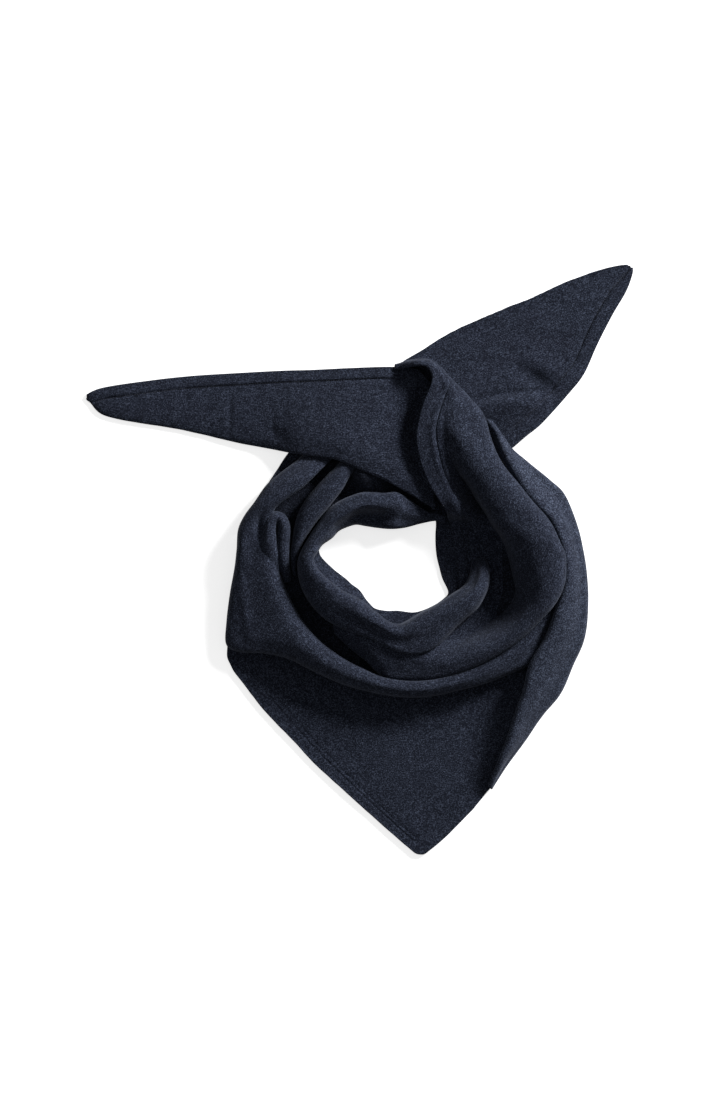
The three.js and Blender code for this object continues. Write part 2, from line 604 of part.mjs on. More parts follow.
function addCore() {
  const edgeAt = (name, angle) => {
    const i = coreEdges.findIndex((row) => row.angle > angle) - 1;
    const [a, b] = [coreEdges[i], coreEdges[i + 1]];
    return a[name] + ((b[name] - a[name]) * (angle - a.angle)) / (b.angle - a.angle);
  };
  const loops = [];
  const turn = 360 / CORE_TURNS;
  for (let i = 0; i < CORE_TURNS; i += 1) {
    const angle = turn * i;
    loops.push(coreLoop(angle, edgeAt("inR", angle), edgeAt("outR", angle), turn));
  }
  const size = loops[0].length;
  const triangles = [];
  for (let i = 0; i < CORE_TURNS; i += 1) {
    const next = (i + 1) % CORE_TURNS;
    for (let j = 0; j < size; j += 1) {
      const after = (j + 1) % size;
      const [a, b, c, d] = [i * size + j, next * size + j, next * size + after, i * size + after];
      triangles.push([a, b, c], [a, c, d]);
    }
  }
  const positions = loops.flat().flatMap((point) => [point.x, point.y, point.z]);
  const mesh = new THREE.Mesh(geometryOf({ positions, triangles }), finish(NAVY_DEEP));
  mesh.name = "hidden_layers";
  group.add(mesh);
}
addCore();

// The origin is on the floor, in the middle of the scarf's outline.
const outline = new THREE.Box3().setFromObject(group);
const middle = outline.getCenter(new THREE.Vector3());
group.position.set(-middle.x, -middle.y, 0);

export default group;
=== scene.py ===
"""Dresses the knitted triangle scarf: fulled navy knit, hems, creases and a plain studio.

All lengths in the tables are millimetres in the scarf's plan, +Y towards the crossing of the
tails. Meshes are in metres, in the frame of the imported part.
"""

import logging
import math
from dataclasses import dataclass, field
from enum import Enum
from typing import Dict, List, Optional, Sequence, Tuple, Union

import bpy
import numpy as np
from mathutils import Matrix, Vector


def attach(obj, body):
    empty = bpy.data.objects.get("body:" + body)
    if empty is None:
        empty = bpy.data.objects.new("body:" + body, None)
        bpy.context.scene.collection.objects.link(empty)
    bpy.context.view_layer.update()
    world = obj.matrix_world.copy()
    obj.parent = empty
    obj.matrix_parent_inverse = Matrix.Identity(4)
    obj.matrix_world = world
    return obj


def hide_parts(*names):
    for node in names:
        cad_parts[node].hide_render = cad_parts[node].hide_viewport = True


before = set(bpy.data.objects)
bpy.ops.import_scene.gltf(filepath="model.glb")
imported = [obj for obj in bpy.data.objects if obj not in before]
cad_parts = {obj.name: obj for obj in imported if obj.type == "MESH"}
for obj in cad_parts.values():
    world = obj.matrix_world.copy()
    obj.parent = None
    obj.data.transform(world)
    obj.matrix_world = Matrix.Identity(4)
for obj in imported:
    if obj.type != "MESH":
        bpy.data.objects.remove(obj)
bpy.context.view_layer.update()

MM = 0.001
SHIFT = np.array([0.40, -0.31, 0.0])  # from the tables' zero to the middle of the outline
NECK = (19.0, -8.0)  # middle of the neck opening
WALL = 2.4  # thickness of the fulled knit
SETTLE = 0.9  # where a laid stretch is lower than this, it lies on the floor
ROLL_FOOT = 0.36  # share of the rise that a rolled edge climbs straight up
ROLL_BROW = (0.26, 0.8)  # share of the way to the next point, and of the rise, where it bends over
HEM_MOST = 0.8  # greatest share of the way to the next point of a section that a hem takes
HEM_RISE = 1.1  # how far the doubled hem stands above the cloth beside it
HEM_STEP = (0.9, 1.15)  # where the doubled cloth starts and ends its step down, in hem widths
GROOVE_REACH = 1.15  # half the width of a seam's groove
GROOVE_RIDGE = (0.35, 3.2, 1.8)  # ridge beside it: share of the depth, distance and reach
SHORT_EDGE_GROOVES = (0.45, 0.35)  # depths of the faint double line along a short edge
BEAD = (0.7, 2.4)  # height and reach of the bead on a short edge
FRAY = (0.16, 0.3)  # chance and slow steps in and out of a short edge
FRAY_SEED = 40  # added to the stretch's seed
FRAY_PHASE = 6.0  # largest phase of the slow steps, in radians
FRAY_WAVE = 11.0  # length of the slow steps, for each radian
FRAY_REACH = 3.0  # how far into the cloth they go
WAVES = 9  # how many slow waves the unevenness is made of
WAVE_LENGTHS = (22.0, 95.0)  # shortest and longest of them
WAVE_RISE = 0.42  # height of the longest at an unevenness of 1
CREASE_STEPS = 10  # straight runs between two points of a crease
CREASE_FACING = (-0.1, 0.4)  # how far a face has to face up for a crease to start and to be full
CELL = 2.9  # size of a grid cell before it is subdivided
SEAM_LINES = (-2.4, -0.8, 0.0, 0.8, 2.4)  # grid lines on both sides of a seam
EDGE_LINES = (0.0, 1.2, 2.4)  # grid lines beside an edge
LEAST_LINE_GAP = 1.1  # closest that a further line comes to one of these
PROBES = 240  # places across a section where its length is measured
PROBES_ALONG = 12  # the same along the stretch, for each section
LEAST_CELLS = (12, 6)  # fewest cells along a stretch and between its edges
EDGE_LINES_MOST = 0.9  # greatest share of a narrow section that the lines at its edges take

Pair = Tuple[float, float]
Colour = Tuple[float, float, float]
Stops = Tuple[Pair, ...]
Names = Tuple[str, ...]
Row = Sequence[float]
Rows = Tuple[Row, ...]

log = logging.getLogger("scarf")


# ---------------------------------------------------------------- shader values


class Wire:
    """A value, colour or vector on its way through a material."""

    def __init__(self, bench: "NodeBench", socket: bpy.types.NodeSocket) -> None:
        """Keeps the socket and the bench it belongs to."""
        self.bench = bench
        self.socket = socket

    def _maths(self, operation: str, first: object, second: object) -> "Wire":
        """Adds a Math node.

        Args:
            operation: the Math node's operation.
            first: its first operand, a Wire or a number.
            second: its second operand, a Wire or a number.

        Returns:
            The result.
        """
        return self.bench.node("ShaderNodeMath", {"operation": operation}, {0: first, 1: second})

    def __add__(self, other: object) -> "Wire":
        """Sum."""
        return self._maths("ADD", self, other)

    def __radd__(self, other: object) -> "Wire":
        """Sum with a number on the left."""
        return self._maths("ADD", other, self)

    def __sub__(self, other: object) -> "Wire":
        """Difference."""
        return self._maths("SUBTRACT", self, other)

    def __rsub__(self, other: object) -> "Wire":
        """Difference from a number."""
        return self._maths("SUBTRACT", other, self)

    def __mul__(self, other: object) -> "Wire":
        """Product."""
        return self._maths("MULTIPLY", self, other)

    def __rmul__(self, other: object) -> "Wire":
        """Product with a number on the left."""
        return self._maths("MULTIPLY", other, self)

    def __truediv__(self, other: object) -> "Wire":
        """Quotient."""
        return self._maths("DIVIDE", self, other)

    def __rtruediv__(self, other: object) -> "Wire":
        """Quotient of a number."""
        return self._maths("DIVIDE", other, self)

    def sine(self) -> "Wire":
        """Sine of the value."""
        return self._maths("SINE", self, 0.0)

    def size(self) -> "Wire":
        """Absolute value."""
        return self._maths("ABSOLUTE", self, 0.0)

    def part(self, period: float) -> "Wire":
        """Place within a repeat, from 0 to 1."""
        return self._maths("FRACT", self / period, 0.0)


def mixed(shares: Sequence[float], *values: Wire) -> Wire:
    """The sum of the values, each times its share.

    Args:
        shares: a number for each value.
        values: the values.

    Returns:
        The sum.
    """
    total = values[0] * shares[0]
    for value, share in zip(values[1:], shares[1:]):
        total = total + value * share
    return total


class NodeBench:
    """A material's node tree, filled one node at a time."""

    def __init__(self, material: bpy.types.Material) -> None:
        """Empties the material's tree and gives it a shader and an output."""
        material.use_nodes = True
        self.tree = material.node_tree
        self.tree.nodes.clear()
        self.shader = self.tree.nodes.new("ShaderNodeBsdfPrincipled")
        self.output = self.tree.nodes.new("ShaderNodeOutputMaterial")
        self.tree.links.new(self.shader.outputs["BSDF"], self.output.inputs["Surface"])

    def node(
        self,
        kind: str,
        settings: Dict[str, object],
        inputs: Dict[Union[int, str], object],
        output: Union[int, str] = 0,
    ) -> Wire:
        """Adds a node.

        Args:
            kind: the node's type.
            settings: its settings, set first; "stops" are a ramp's (place, value) pairs.
            inputs: values or Wires by socket name or number.
            output: the socket that is returned.

        Returns:
            That output.
        """
        made = self.tree.nodes.new(kind)
        for name, value in settings.items():
            if name == "stops":
                ramp = made.color_ramp
                while len(ramp.elements) < len(value):
                    ramp.elements.new(0.5)
                for element, (place, level) in zip(ramp.elements, value):
                    element.position = place
                    element.color = (level, level, level, 1.0)
            else:
                setattr(made, name, value)
        for name, value in inputs.items():
            if isinstance(value, Wire):
                self.tree.links.new(value.socket, made.inputs[name])
            else:
                made.inputs[name].default_value = value
        return Wire(self, made.outputs[output])

    def object_place(self) -> Wire:
        """Object coordinates."""
        return self.node("ShaderNodeTexCoord", {}, {}, "Object")

    def cloth_place(self) -> Wire:
        """The piece's own UV map, in metres across and along the cloth."""
        return self.node("ShaderNodeUVMap", {"uv_map": "cloth"}, {})

    def noise(self, place: Wire, period_mm: float, detail: float, rough: float = 0.5) -> Wire:
        """Noise between 0 and 1.

        Args:
            place: where it is read.
            period_mm: the size of its largest grains.
            detail: octaves beyond the first.
            rough: how strong these are.

        Returns:
            The noise.
        """
        scale = 1.0 / (period_mm * MM)
        values = {"Vector": place, "Scale": scale, "Detail": detail, "Roughness": rough}
        return self.node("ShaderNodeTexNoise", {"noise_dimensions": "3D"}, values)

    def ramp(self, value: Wire, stops: Stops) -> Wire:
        """A value through a ramp of grey levels."""
        return self.node("ShaderNodeValToRGB", {"stops": stops}, {"Fac": value})

    def mix(self, share: Union[Wire, float], first: object, second: object) -> Wire:
        """A colour between two colours."""
        colours = [c if isinstance(c, Wire) else (*c, 1.0) for c in (first, second)]
        values = {0: share, 6: colours[0], 7: colours[1]}
        return self.node("ShaderNodeMix", {"data_type": "RGBA"}, values, 2)

    def stretched(self, place: Wire, scale: Tuple[float, float, float]) -> Wire:
        """A place stretched by a Mapping node."""
        values = {"Vector": place, "Scale": scale}
        return self.node("ShaderNodeMapping", {"vector_type": "POINT"}, values)

    def axis(self, place: Wire, name: str) -> Wire:
        """One coordinate of a place."""
        return self.node("ShaderNodeSeparateXYZ", {}, {"Vector": place}, name)

    def set(self, socket: str, value: object) -> None:
        """Sets or links one of the shader's sockets."""
        if isinstance(value, Wire):
            self.tree.links.new(value.socket, self.shader.inputs[socket])
        else:
            self.shader.inputs[socket].default_value = value


@dataclass(frozen=True)
class Finish:
    """What every finish shares: a name, and how a material is made from it."""

    name: str = ""

    def material(self) -> bpy.types.Material:
        """Makes the material and fills its node tree."""
        made = bpy.data.materials.new(self.name)
        self.fill(NodeBench(made))
        return made

    def fill(self, bench: NodeBench) -> None:
        """Sets the shader's sockets, in each finish its own way."""
        raise NotImplementedError


@dataclass(frozen=True)
class FulledKnit(Finish):
    """Dark navy melange knit, fulled so that its stitches run together under a short nap.

    The mixes are the shares of specks, fibres, mottle, loops and streaks in what they are named
    after, in this order as far as they have a part in it.
    """

    name: str = "fulled_knit"
    deep: Colour = (0.0022, 0.0030, 0.0065)
    body: Colour = (0.0155, 0.0193, 0.0330)
    pale: Colour = (0.076, 0.0915, 0.137)
    # shade below 1 darkens the whole colour towards black: painted shade, for pieces that lie deep in shade
    shade: float = 1.0
    sheen: float = 0.09
    sheen_roughness: float = 0.5
    sheen_tint: Colour = (0.62, 0.68, 0.85)
    specular: float = 0.08
    speck_mm: float = 1.3
    fibre_mm: float = 0.7
    mottle_mm: float = 9.0
    grain: float = 0.6
    wale_mm: float = 1.7
    course_mm: float = 1.25
    wander_mm: float = 1.6
    wander_period_mm: float = 6.0
    streak_mm: float = 1.3
    streak_pull: Tuple[float, float, float] = (1.0, 0.16, 1.0)
    relief_mm: float = 0.5
    relief_strength: float = 0.85
    ground_mix: Pair = (0.7, 0.3)
    bright_mix: Tuple[float, float, float] = (0.6, 0.4, 0.12)
    relief_mix: Pair = (0.55, 0.3)
    loop_mix: Pair = (0.6, 0.8)
    knit_relief_mix: Pair = (0.35, 0.25)
    bright_with_streaks: float = 0.8
    melange: Stops = ((0.33, 0.0), (0.5, 0.45), (0.68, 1.0))
    pale_specks: Stops = ((0.56, 0.0), (0.74, 1.0))
    pale_streaks: Stops = ((0.58, 0.0), (0.78, 0.5))
    roughness: Stops = ((0.3, 0.86), (0.7, 0.97))
    with_wales: bool = True

    def fill(self, bench: NodeBench) -> None:
        """Melange colour from noise, and loops, streaks and a nap where the cloth has a map.

        Args:
            bench: the material's nodes.
        """
        place = bench.object_place()
        specks = bench.noise(place, self.speck_mm, 2.0, self.grain)
        fibres = bench.noise(place, self.fibre_mm, 2.0, self.grain)
        mottle = bench.noise(place, self.mottle_mm, 2.0)
        lightness = bench.ramp(mixed(self.ground_mix, specks, fibres), self.melange)
        colour = bench.mix(lightness, self.deep, self.body)
        bright = bench.ramp(mixed(self.bright_mix, specks, fibres, mottle), self.pale_specks)
        relief = mixed(self.relief_mix, specks, fibres)
        if self.with_wales:
            cloth = bench.cloth_place()
            wander = bench.noise(place, self.wander_period_mm, 1.0) * (self.wander_mm * MM)
            across = bench.axis(cloth, "X") + wander
            lean = (across.part(self.wale_mm * MM) - 0.5).size() * (self.course_mm * MM)
            course = (bench.axis(cloth, "Y") + wander + lean).part(self.course_mm * MM)
            wale = (across * (2.0 * math.pi / (self.wale_mm * MM))).sine() * 0.5 + 0.5
            loops = mixed(self.loop_mix, wale, (course - 0.5).size())
            pulled = bench.stretched(cloth, self.streak_pull)
            streaks = bench.noise(pulled, self.streak_mm, 2.0, self.grain)
            bright = bright * self.bright_with_streaks + bench.ramp(streaks, self.pale_streaks)
            relief = relief + mixed(self.knit_relief_mix, loops, streaks)
        colour = bench.mix(bright, colour, self.pale)
        # the colour times shade: painted shade wherever shade is below 1
        bench.set("Base Color", bench.mix(self.shade, (0.0, 0.0, 0.0), colour))
        values = {
            "Strength": self.relief_strength,
            "Distance": self.relief_mm * MM,
            "Height": relief,
        }
        bench.set("Normal", bench.node("ShaderNodeBump", {}, values))
        bench.set("Roughness", bench.ramp(mottle, self.roughness))
        bench.set("Specular IOR Level", self.specular)
        bench.set("Sheen Weight", self.sheen)
        bench.set("Sheen Roughness", self.sheen_roughness)
        bench.set("Sheen Tint", (*self.sheen_tint, 1.0))


@dataclass(frozen=True)
class HemThread(Finish):
    """Matt navy sewing thread, two plies twisted."""

    name: str = "hem_thread"
    colour: Colour = (0.012, 0.0135, 0.020)
    lit: Colour = (0.030, 0.033, 0.046)
    twist_mm: float = 0.4
    roughness: Stops = ((0.3, 0.55), (0.7, 0.75))

    def fill(self, bench: NodeBench) -> None:
        """Two navies and a changing roughness from one fine noise."""
        twist = bench.noise(bench.object_place(), self.twist_mm, 1.0)
        bench.set("Base Color", bench.mix(twist, self.colour, self.lit))
        bench.set("Roughness", bench.ramp(twist, self.roughness))


@dataclass(frozen=True)
class PaleFloor(Finish):
    """Plain white studio paper."""

    name: str = "studio_paper"
    colour: Colour = (0.80, 0.80, 0.80)
    shade: Colour = (0.78, 0.78, 0.78)
    grain_mm: float = 4.0
    roughness: float = 0.9
    glow: float = 0.70

    def fill(self, bench: NodeBench) -> None:
        """Two near whites, matt, with a glow of its own."""
        grain = bench.noise(bench.object_place(), self.grain_mm, 2.0)
        bench.set("Base Color", bench.mix(grain, self.colour, self.shade))
        bench.set("Roughness", self.roughness)
        bench.set("Emission Color", (1.0, 1.0, 1.0, 1.0))
        bench.set("Emission Strength", self.glow)


# ---------------------------------------------------------------- smooth curves


def curve_weights(count: int, places: np.ndarray, smooth: bool = True) -> np.ndarray:
    """The share that each listed value has in a smooth curve through the list.

    Args:
        count: how many values the list has.
        places: where along the list the curve is read, from 0 to count - 1.
        smooth: False for straight runs between the values.

    Returns:
        A matrix with one line for each place and one column for each value.
    """
    last = count - 1
    weights = np.zeros((len(places), count))
    index = np.minimum(np.floor(places).astype(int), last - 1)
    u = places - index
    lines = np.arange(len(places))
    if not smooth:
        weights[lines, index] = 1 - u
        weights[lines, index + 1] = u
        return weights
    shares = [
        0.5 * (-u + 2 * u**2 - u**3),
        0.5 * (2 - 5 * u**2 + 3 * u**3),
        0.5 * (u + 4 * u**2 - 3 * u**3),
        0.5 * (-(u**2) + u**3),
    ]
    np.add.at(weights, (lines, index), shares[1])
    np.add.at(weights, (lines, index + 1), shares[2])
    before = index > 0
    np.add.at(weights, (lines[before], index[before] - 1), shares[0][before])
    first = ~before
    np.add.at(weights, (lines[first], index[first]), 2 * shares[0][first])
    np.add.at(weights, (lines[first], index[first] + 1), -shares[0][first])
    after = index + 2 <= last
    np.add.at(weights, (lines[after], index[after] + 2), shares[3][after])
    end = ~after
    np.add.at(weights, (lines[end], index[end] + 1), 2 * shares[3][end])
    np.add.at(weights, (lines[end], index[end]), -shares[3][end])
    return weights


def even_places(lengths: np.ndarray, places: np.ndarray, steps: int) -> np.ndarray:
    """Places spread evenly over a length.

    Args:
        lengths: the running length at each of the places.
        places: rising numbers along a curve.
        steps: how many steps the length is cut into.

    Returns:
        The steps + 1 places.
    """
    return np.interp(np.linspace(lengths[0], lengths[-1], steps + 1), lengths, places)


def lengths_along(grid: np.ndarray) -> np.ndarray:
    """Mean running length down the rows of a grid, from 0."""
    steps = np.linalg.norm(np.diff(grid, axis=0), axis=2).mean(axis=1)
    return np.concatenate([[0], np.cumsum(steps)])


def lengths_across(grid: np.ndarray) -> np.ndarray:
    """Running length along each row of a grid, from 0."""
    steps = np.linalg.norm(np.diff(grid, axis=1), axis=2)
    return np.cumsum(np.pad(steps, ((0, 0), (1, 0))), axis=1)


def unit(vectors: np.ndarray) -> np.ndarray:
    """The vectors of a grid at a length of 1."""
    return vectors / np.maximum(np.linalg.norm(vectors, axis=2, keepdims=True), 1e-9)


def swell(away: np.ndarray, reach: float) -> np.ndarray:
    """A soft bump: 1 where away is 0, fading over the reach."""
    return np.exp(-((away / reach) ** 2))


def fade(value: np.ndarray, low: float, high: float) -> np.ndarray:
    """A soft step from 0 at low to 1 at high."""
    t = np.clip((value - low) / (high - low), 0.0, 1.0)
    return t * t * (3 - 2 * t)


@dataclass(frozen=True)
class Crease:
    """A soft trough or ridge, placed one by one.

    Attributes:
        path: points in the plan, in millimetres.
        rise: height at each point, negative in a trough.
        reach: how far it spreads to each side.
    """

    path: Tuple[Pair, ...]
    rise: Tuple[float, ...]
    reach: float

    def heights(self, x: np.ndarray, y: np.ndarray) -> np.ndarray:
        """The rise of the crease over points of the plan.

        Args:
            x: their x.
            y: their y.

        Returns:
            A height for each point.
        """
        count = len(self.path)
        weights = curve_weights(count, np.linspace(0, count - 1, CREASE_STEPS * (count - 1) + 1))
        line = weights @ np.array(self.path)
        rise = weights @ np.array(self.rise)
        best = np.full(x.shape, 1e9)
        found = np.zeros(x.shape)
        for k in range(len(line) - 1):
            run = line[k + 1] - line[k]
            t = ((x - line[k, 0]) * run[0] + (y - line[k, 1]) * run[1]) / (run @ run)
            t = np.clip(t, 0.0, 1.0)
            away = np.hypot(x - line[k, 0] - t * run[0], y - line[k, 1] - t * run[1])
            nearer = away < best
            best = np.where(nearer, away, best)
            found = np.where(nearer, rise[k] + t * (rise[k + 1] - rise[k]), found)
        return found * swell(best, self.reach)


# ---------------------------------------------------------------- finishing a piece


def round_off(piece: bpy.types.Object) -> None:
    """Rounds the active piece's corners with one level of subdivision, and shades it smooth."""
    rounded = piece.modifiers.new("rounded", "SUBSURF")
    rounded.levels = 1
    rounded.render_levels = 1
    bpy.ops.object.modifier_apply(modifier=rounded.name)
    bpy.ops.object.shade_smooth()


def dress(piece: bpy.types.Object, finish: bpy.types.Material, node: str = "") -> None:
    """Gives a piece its finish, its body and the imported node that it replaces.

    Args:
        piece: the piece.
        finish: its only material.
        node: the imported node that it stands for, if the frame has one of that name.
    """
    piece.data.materials.clear()
    piece.data.materials.append(finish)
    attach(piece, "root")
    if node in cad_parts:
        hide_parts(node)


# ---------------------------------------------------------------- stretches of cloth


class EdgeKind(Enum):
    """How the long edge of a stretch ends."""

    BURIED = "buried"
    CUT = "cut"
    ROLLED = "rolled"
    HEMMED = "hemmed"


class Held(Enum):
    """How a stretch is held."""

    LAID = "laid"
    FOLDED = "folded"


@dataclass(frozen=True)
class Edge:
    """One long edge of a stretch.

    Attributes:
        kind: out of sight, cut, rolled or hemmed.
        tuck: how far a rolled edge goes back under itself.
        hem: width of a hem.
        seam: depth of the groove along its stitches.
    """

    kind: EdgeKind = EdgeKind.CUT
    tuck: float = 0.0
    hem: float = 0.0
    seam: float = 1.7

    def points(self, foot: Pair, after: Pair, width: float) -> List[Pair]:
        """The points of a section from this edge up to the next one that it doesn't replace.

        Args:
            foot: fraction and height of the section's first point.
            after: fraction and height of its second point.
            width: width of the section.

        Returns:
            Fractions and heights.
        """
        side = 1.0 if after[0] > foot[0] else -1.0
        rise = after[1] - foot[1]
        if self.kind is EdgeKind.ROLLED:
            bend, climb = ROLL_BROW
            return [
                (foot[0] + side * self.tuck / width, foot[1]),
                (foot[0], foot[1] + ROLL_FOOT * rise),
                (foot[0] + bend * (after[0] - foot[0]), foot[1] + climb * rise),
            ]
        if self.kind is EdgeKind.HEMMED:
            slope = rise / abs(after[0] - foot[0])
            share = min(self.hem / width, HEM_MOST * abs(after[0] - foot[0]))
            steps = ((0.0, HEM_RISE), (HEM_STEP[0], HEM_RISE), (HEM_STEP[1], 0.0))
            return [
                (foot[0] + side * share * part, foot[1] + slope * share * part + up)
                for part, up in steps
            ]
        return []


@dataclass
class Cloth:
    """What every stretch of cloth shares: its table, its edges and how it is made.

    A column that ends in Z is a height. Its place across the stretch is in the column of the same
    name with F, except inZ and outZ at the two edges, and a height in the middle without one.

    Attributes:
        cut: least rectangle round the flat cloth.
        cut_area: its area in square metres.
        smooth: False where the sections are joined by straight runs.
        unevenness: how much it was handled.
        rough_edges: True where a cut edge shows its bead and fray.
        short_lines: how far from such an edge its faint lines run.
        groove: the line of a hem's stitches, once the cloth is shaped.
    """

    name: str = ""
    columns: str = ""
    rows: Rows = ()
    cut: Pair = (0.0, 0.0)
    cut_area: float = 0.0
    inner: Edge = Edge()
    outer: Edge = Edge()
    held: Held = Held.FOLDED
    rests_on: Names = ("hidden_layers_cloth",)
    settles: bool = False
    smooth: bool = True
    cell: float = CELL
    unevenness: float = 0.5
    rough_edges: bool = False
    short_lines: Tuple[float, ...] = (13.0, 18.5)
    creases: Tuple[Crease, ...] = ()
    seed: int = 1
    groove: Optional[np.ndarray] = field(default=None, repr=False)

    def lines(self) -> List[Dict[str, float]]:
        """The rows of the table, each with the names of its columns."""
        names = self.columns.split()
        return [dict(zip(names, row)) for row in self.rows]

    def ends(self, row: Dict[str, float]) -> Tuple[float, float, float, float]:
        """Where a section starts and ends in the plan.

        Args:
            row: one line of the table.

        Returns:
            Inner x and y, outer x and y.
        """
        if "inX" in row:
            return row["inX"], row["inY"], row["outX"], row["outY"]
        inner = math.radians(row["inAngle"])
        outer = math.radians(row.get("outAngle", row["inAngle"]))
        return (
            NECK[0] + row["inR"] * math.cos(inner),
            NECK[1] + row["inR"] * math.sin(inner),
            NECK[0] + row["outR"] * math.cos(outer),
            NECK[1] + row["outR"] * math.sin(outer),
        )

    def section(self, row: Dict[str, float], width: float) -> List[Pair]:
        """The points of one section, from the inner to the outer edge.

        Args:
            row: one line of the table.
            width: width of the section.

        Returns:
            Fractions of the width, and heights.
        """
        edges = {"inZ": 0, "outZ": 1}
        points = [
            (edges.get(name, row.get(name[:-1] + "F", 0.5)), height)
            for name, height in row.items()
            if name.endswith("Z")
        ]
        first = self.inner.points(points[0], points[1], width)
        last = self.outer.points(points[-1], points[-2], width)[::-1]
        inner = points[1:] if first else points
        middle = inner[:-1] if last else inner
        return first + middle + last

    def surface(self, s: np.ndarray, t: np.ndarray) -> np.ndarray:
        """Points of the upper face.

        Args:
            s: places along the stretch, in sections.
            t: places across it, in points of a section, one line for each of s.

        Returns:
            A grid of points in millimetres.
        """
        rows = self.lines()
        ends = np.array([self.ends(row) for row in rows])
        widths = np.hypot(ends[:, 2] - ends[:, 0], ends[:, 3] - ends[:, 1])
        sections = np.array([self.section(row, width) for row, width in zip(rows, widths)])
        lengthways = curve_weights(len(rows), s, self.smooth)
        crossways = curve_weights(sections.shape[1], t.ravel()).reshape(t.shape + (-1,))
        ends = lengthways @ ends
        fractions = np.einsum("rp,rlp->rl", lengthways @ sections[:, :, 0], crossways)
        up = np.einsum("rp,rlp->rl", lengthways @ sections[:, :, 1], crossways)
        x = ends[:, :1] + (ends[:, 2:3] - ends[:, :1]) * fractions
        y = ends[:, 1:2] + (ends[:, 3:4] - ends[:, 1:2]) * fractions
        return np.stack([x, y, np.maximum(up, 0.0)], axis=2)

    def seams(self, edge: Edge) -> Tuple[float, ...]:
        """How far from a long edge its seam, or its faint lines, run."""
        if edge.kind is EdgeKind.HEMMED:
            return (edge.hem,)
        return self.short_lines if edge.kind is EdgeKind.CUT and self.rough_edges else ()

    def spots(self, edge: Edge) -> np.ndarray:
        """Distances of the grid lines beside an edge, closer together at its seams.

        Args:
            edge: the edge.

        Returns:
            Rising distances that start with 0.
        """
        seams = self.seams(edge)
        if not seams and not (self.rough_edges and edge.kind is EdgeKind.CUT):
            return np.zeros(1)
        found = [seam + step for seam in seams for step in SEAM_LINES]
        further = np.arange(EDGE_LINES[-1] + self.cell, max(seams, default=0.0), self.cell)
        for place in EDGE_LINES + tuple(further):
            if all(abs(place - other) > LEAST_LINE_GAP for other in found):
                found.append(place)
        return np.array(sorted(found))

    def sampling(self) -> Tuple[np.ndarray, np.ndarray]:
        """Places of the grid lines, evenly spread and closer together beside a seam.

        Returns:
            Places along, and places across for each of them.
        """
        t = np.linspace(0, len(self.section(self.lines()[0], self.cell)) - 1, PROBES)
        s = np.linspace(0, len(self.rows) - 1, PROBES_ALONG * len(self.rows))
        along = lengths_along(self.surface(s, np.tile(t, (len(s), 1))))
        s = even_places(along, s, max(int(along[-1] / self.cell), LEAST_CELLS[0]))
        run = lengths_across(self.surface(s, np.tile(t, (len(s), 1))))
        near, far = self.spots(self.inner), self.spots(self.outer)
        lines = max(int((run[:, -1].max() - near[-1] - far[-1]) / self.cell), LEAST_CELLS[1])
        across = []
        for lengths in run:
            whole = lengths[-1]
            scale = min(1.0, EDGE_LINES_MOST * whole / (near[-1] + far[-1] + 1.0))
            middle = np.linspace(scale * near[-1], whole - scale * far[-1], lines + 1)[1:-1]
            places = np.concatenate([scale * near, middle, whole - scale * far[::-1]])
            across.append(np.interp(places, lengths, t))
        return s, np.array(across)

    def shaped(self) -> Tuple[np.ndarray, np.ndarray, np.ndarray]:
        """The upper face with its hem, creases and unevenness.

        Returns:
            Points in millimetres, lengths across the cloth and lengths along it.
        """
        s, t = self.sampling()
        grid = self.surface(s, t)
        u = lengths_across(grid)
        v = np.repeat(lengths_along(grid)[:, None], grid.shape[1], axis=1)
        normals = grid_normals(grid)
        if normals[:, :, 2].mean() < 0:
            normals = -normals
        facing = fade(normals[:, :, 2], *CREASE_FACING)
        rise = self.uneven(u, v)
        for crease in self.creases:
            rise = rise + crease.heights(grid[:, :, 0], grid[:, :, 1]) * facing
        rise = rise + self.edge_relief(u, self.inner)
        rise = rise + self.edge_relief((u[:, -1:] - u)[:, ::-1], self.outer)[:, ::-1]
        if self.rough_edges:
            grid = grid + self.ragged(grid, u, v)
        grid = grid + normals * rise[:, :, None]
        grid[:, :, 2] = np.maximum(grid[:, :, 2], 0.0)
        self.keep_groove(grid, normals, u)
        return grid, u, v

    def edge_relief(self, away: np.ndarray, edge: Edge) -> np.ndarray:
        """The seam groove of a hem, or the bead and the faint double line of a short edge.

        Args:
            away: distances from the edge, rising along each line.
            edge: the edge.

        Returns:
            Heights.
        """
        rise = np.zeros_like(away)
        spots = self.spots(edge)
        share, beside, reach = GROOVE_RIDGE
        depths = (edge.seam,) if edge.kind is EdgeKind.HEMMED else SHORT_EDGE_GROOVES
        for seam, depth in zip(self.seams(edge), depths):
            column = int(np.abs(spots - seam).argmin())
            past = away - away[:, column : column + 1]
            rise = rise - depth * swell(past, GROOVE_REACH)
            rise = rise + share * depth * swell(past + beside, reach)
        if edge.kind is EdgeKind.CUT and self.rough_edges:
            rise = rise + BEAD[0] * swell(away, BEAD[1])
        return rise

    def uneven(self, u: np.ndarray, v: np.ndarray) -> np.ndarray:
        """Slow unevenness of cloth that was handled.

        Args:
            u: lengths across the cloth.
            v: lengths along it.

        Returns:
            Heights.
        """
        chance = np.random.default_rng(self.seed)
        rise = np.zeros_like(u)
        for _ in range(WAVES):
            wave = chance.uniform(*WAVE_LENGTHS)
            turn = chance.uniform(0.0, math.pi)
            phase = chance.uniform(0.0, 2.0 * math.pi)
            run = (u * math.cos(turn) + v * math.sin(turn)) / wave
            rise = rise + np.sin(2.0 * math.pi * run + phase) * wave / WAVE_LENGTHS[1]
        return rise * self.unevenness * WAVE_RISE

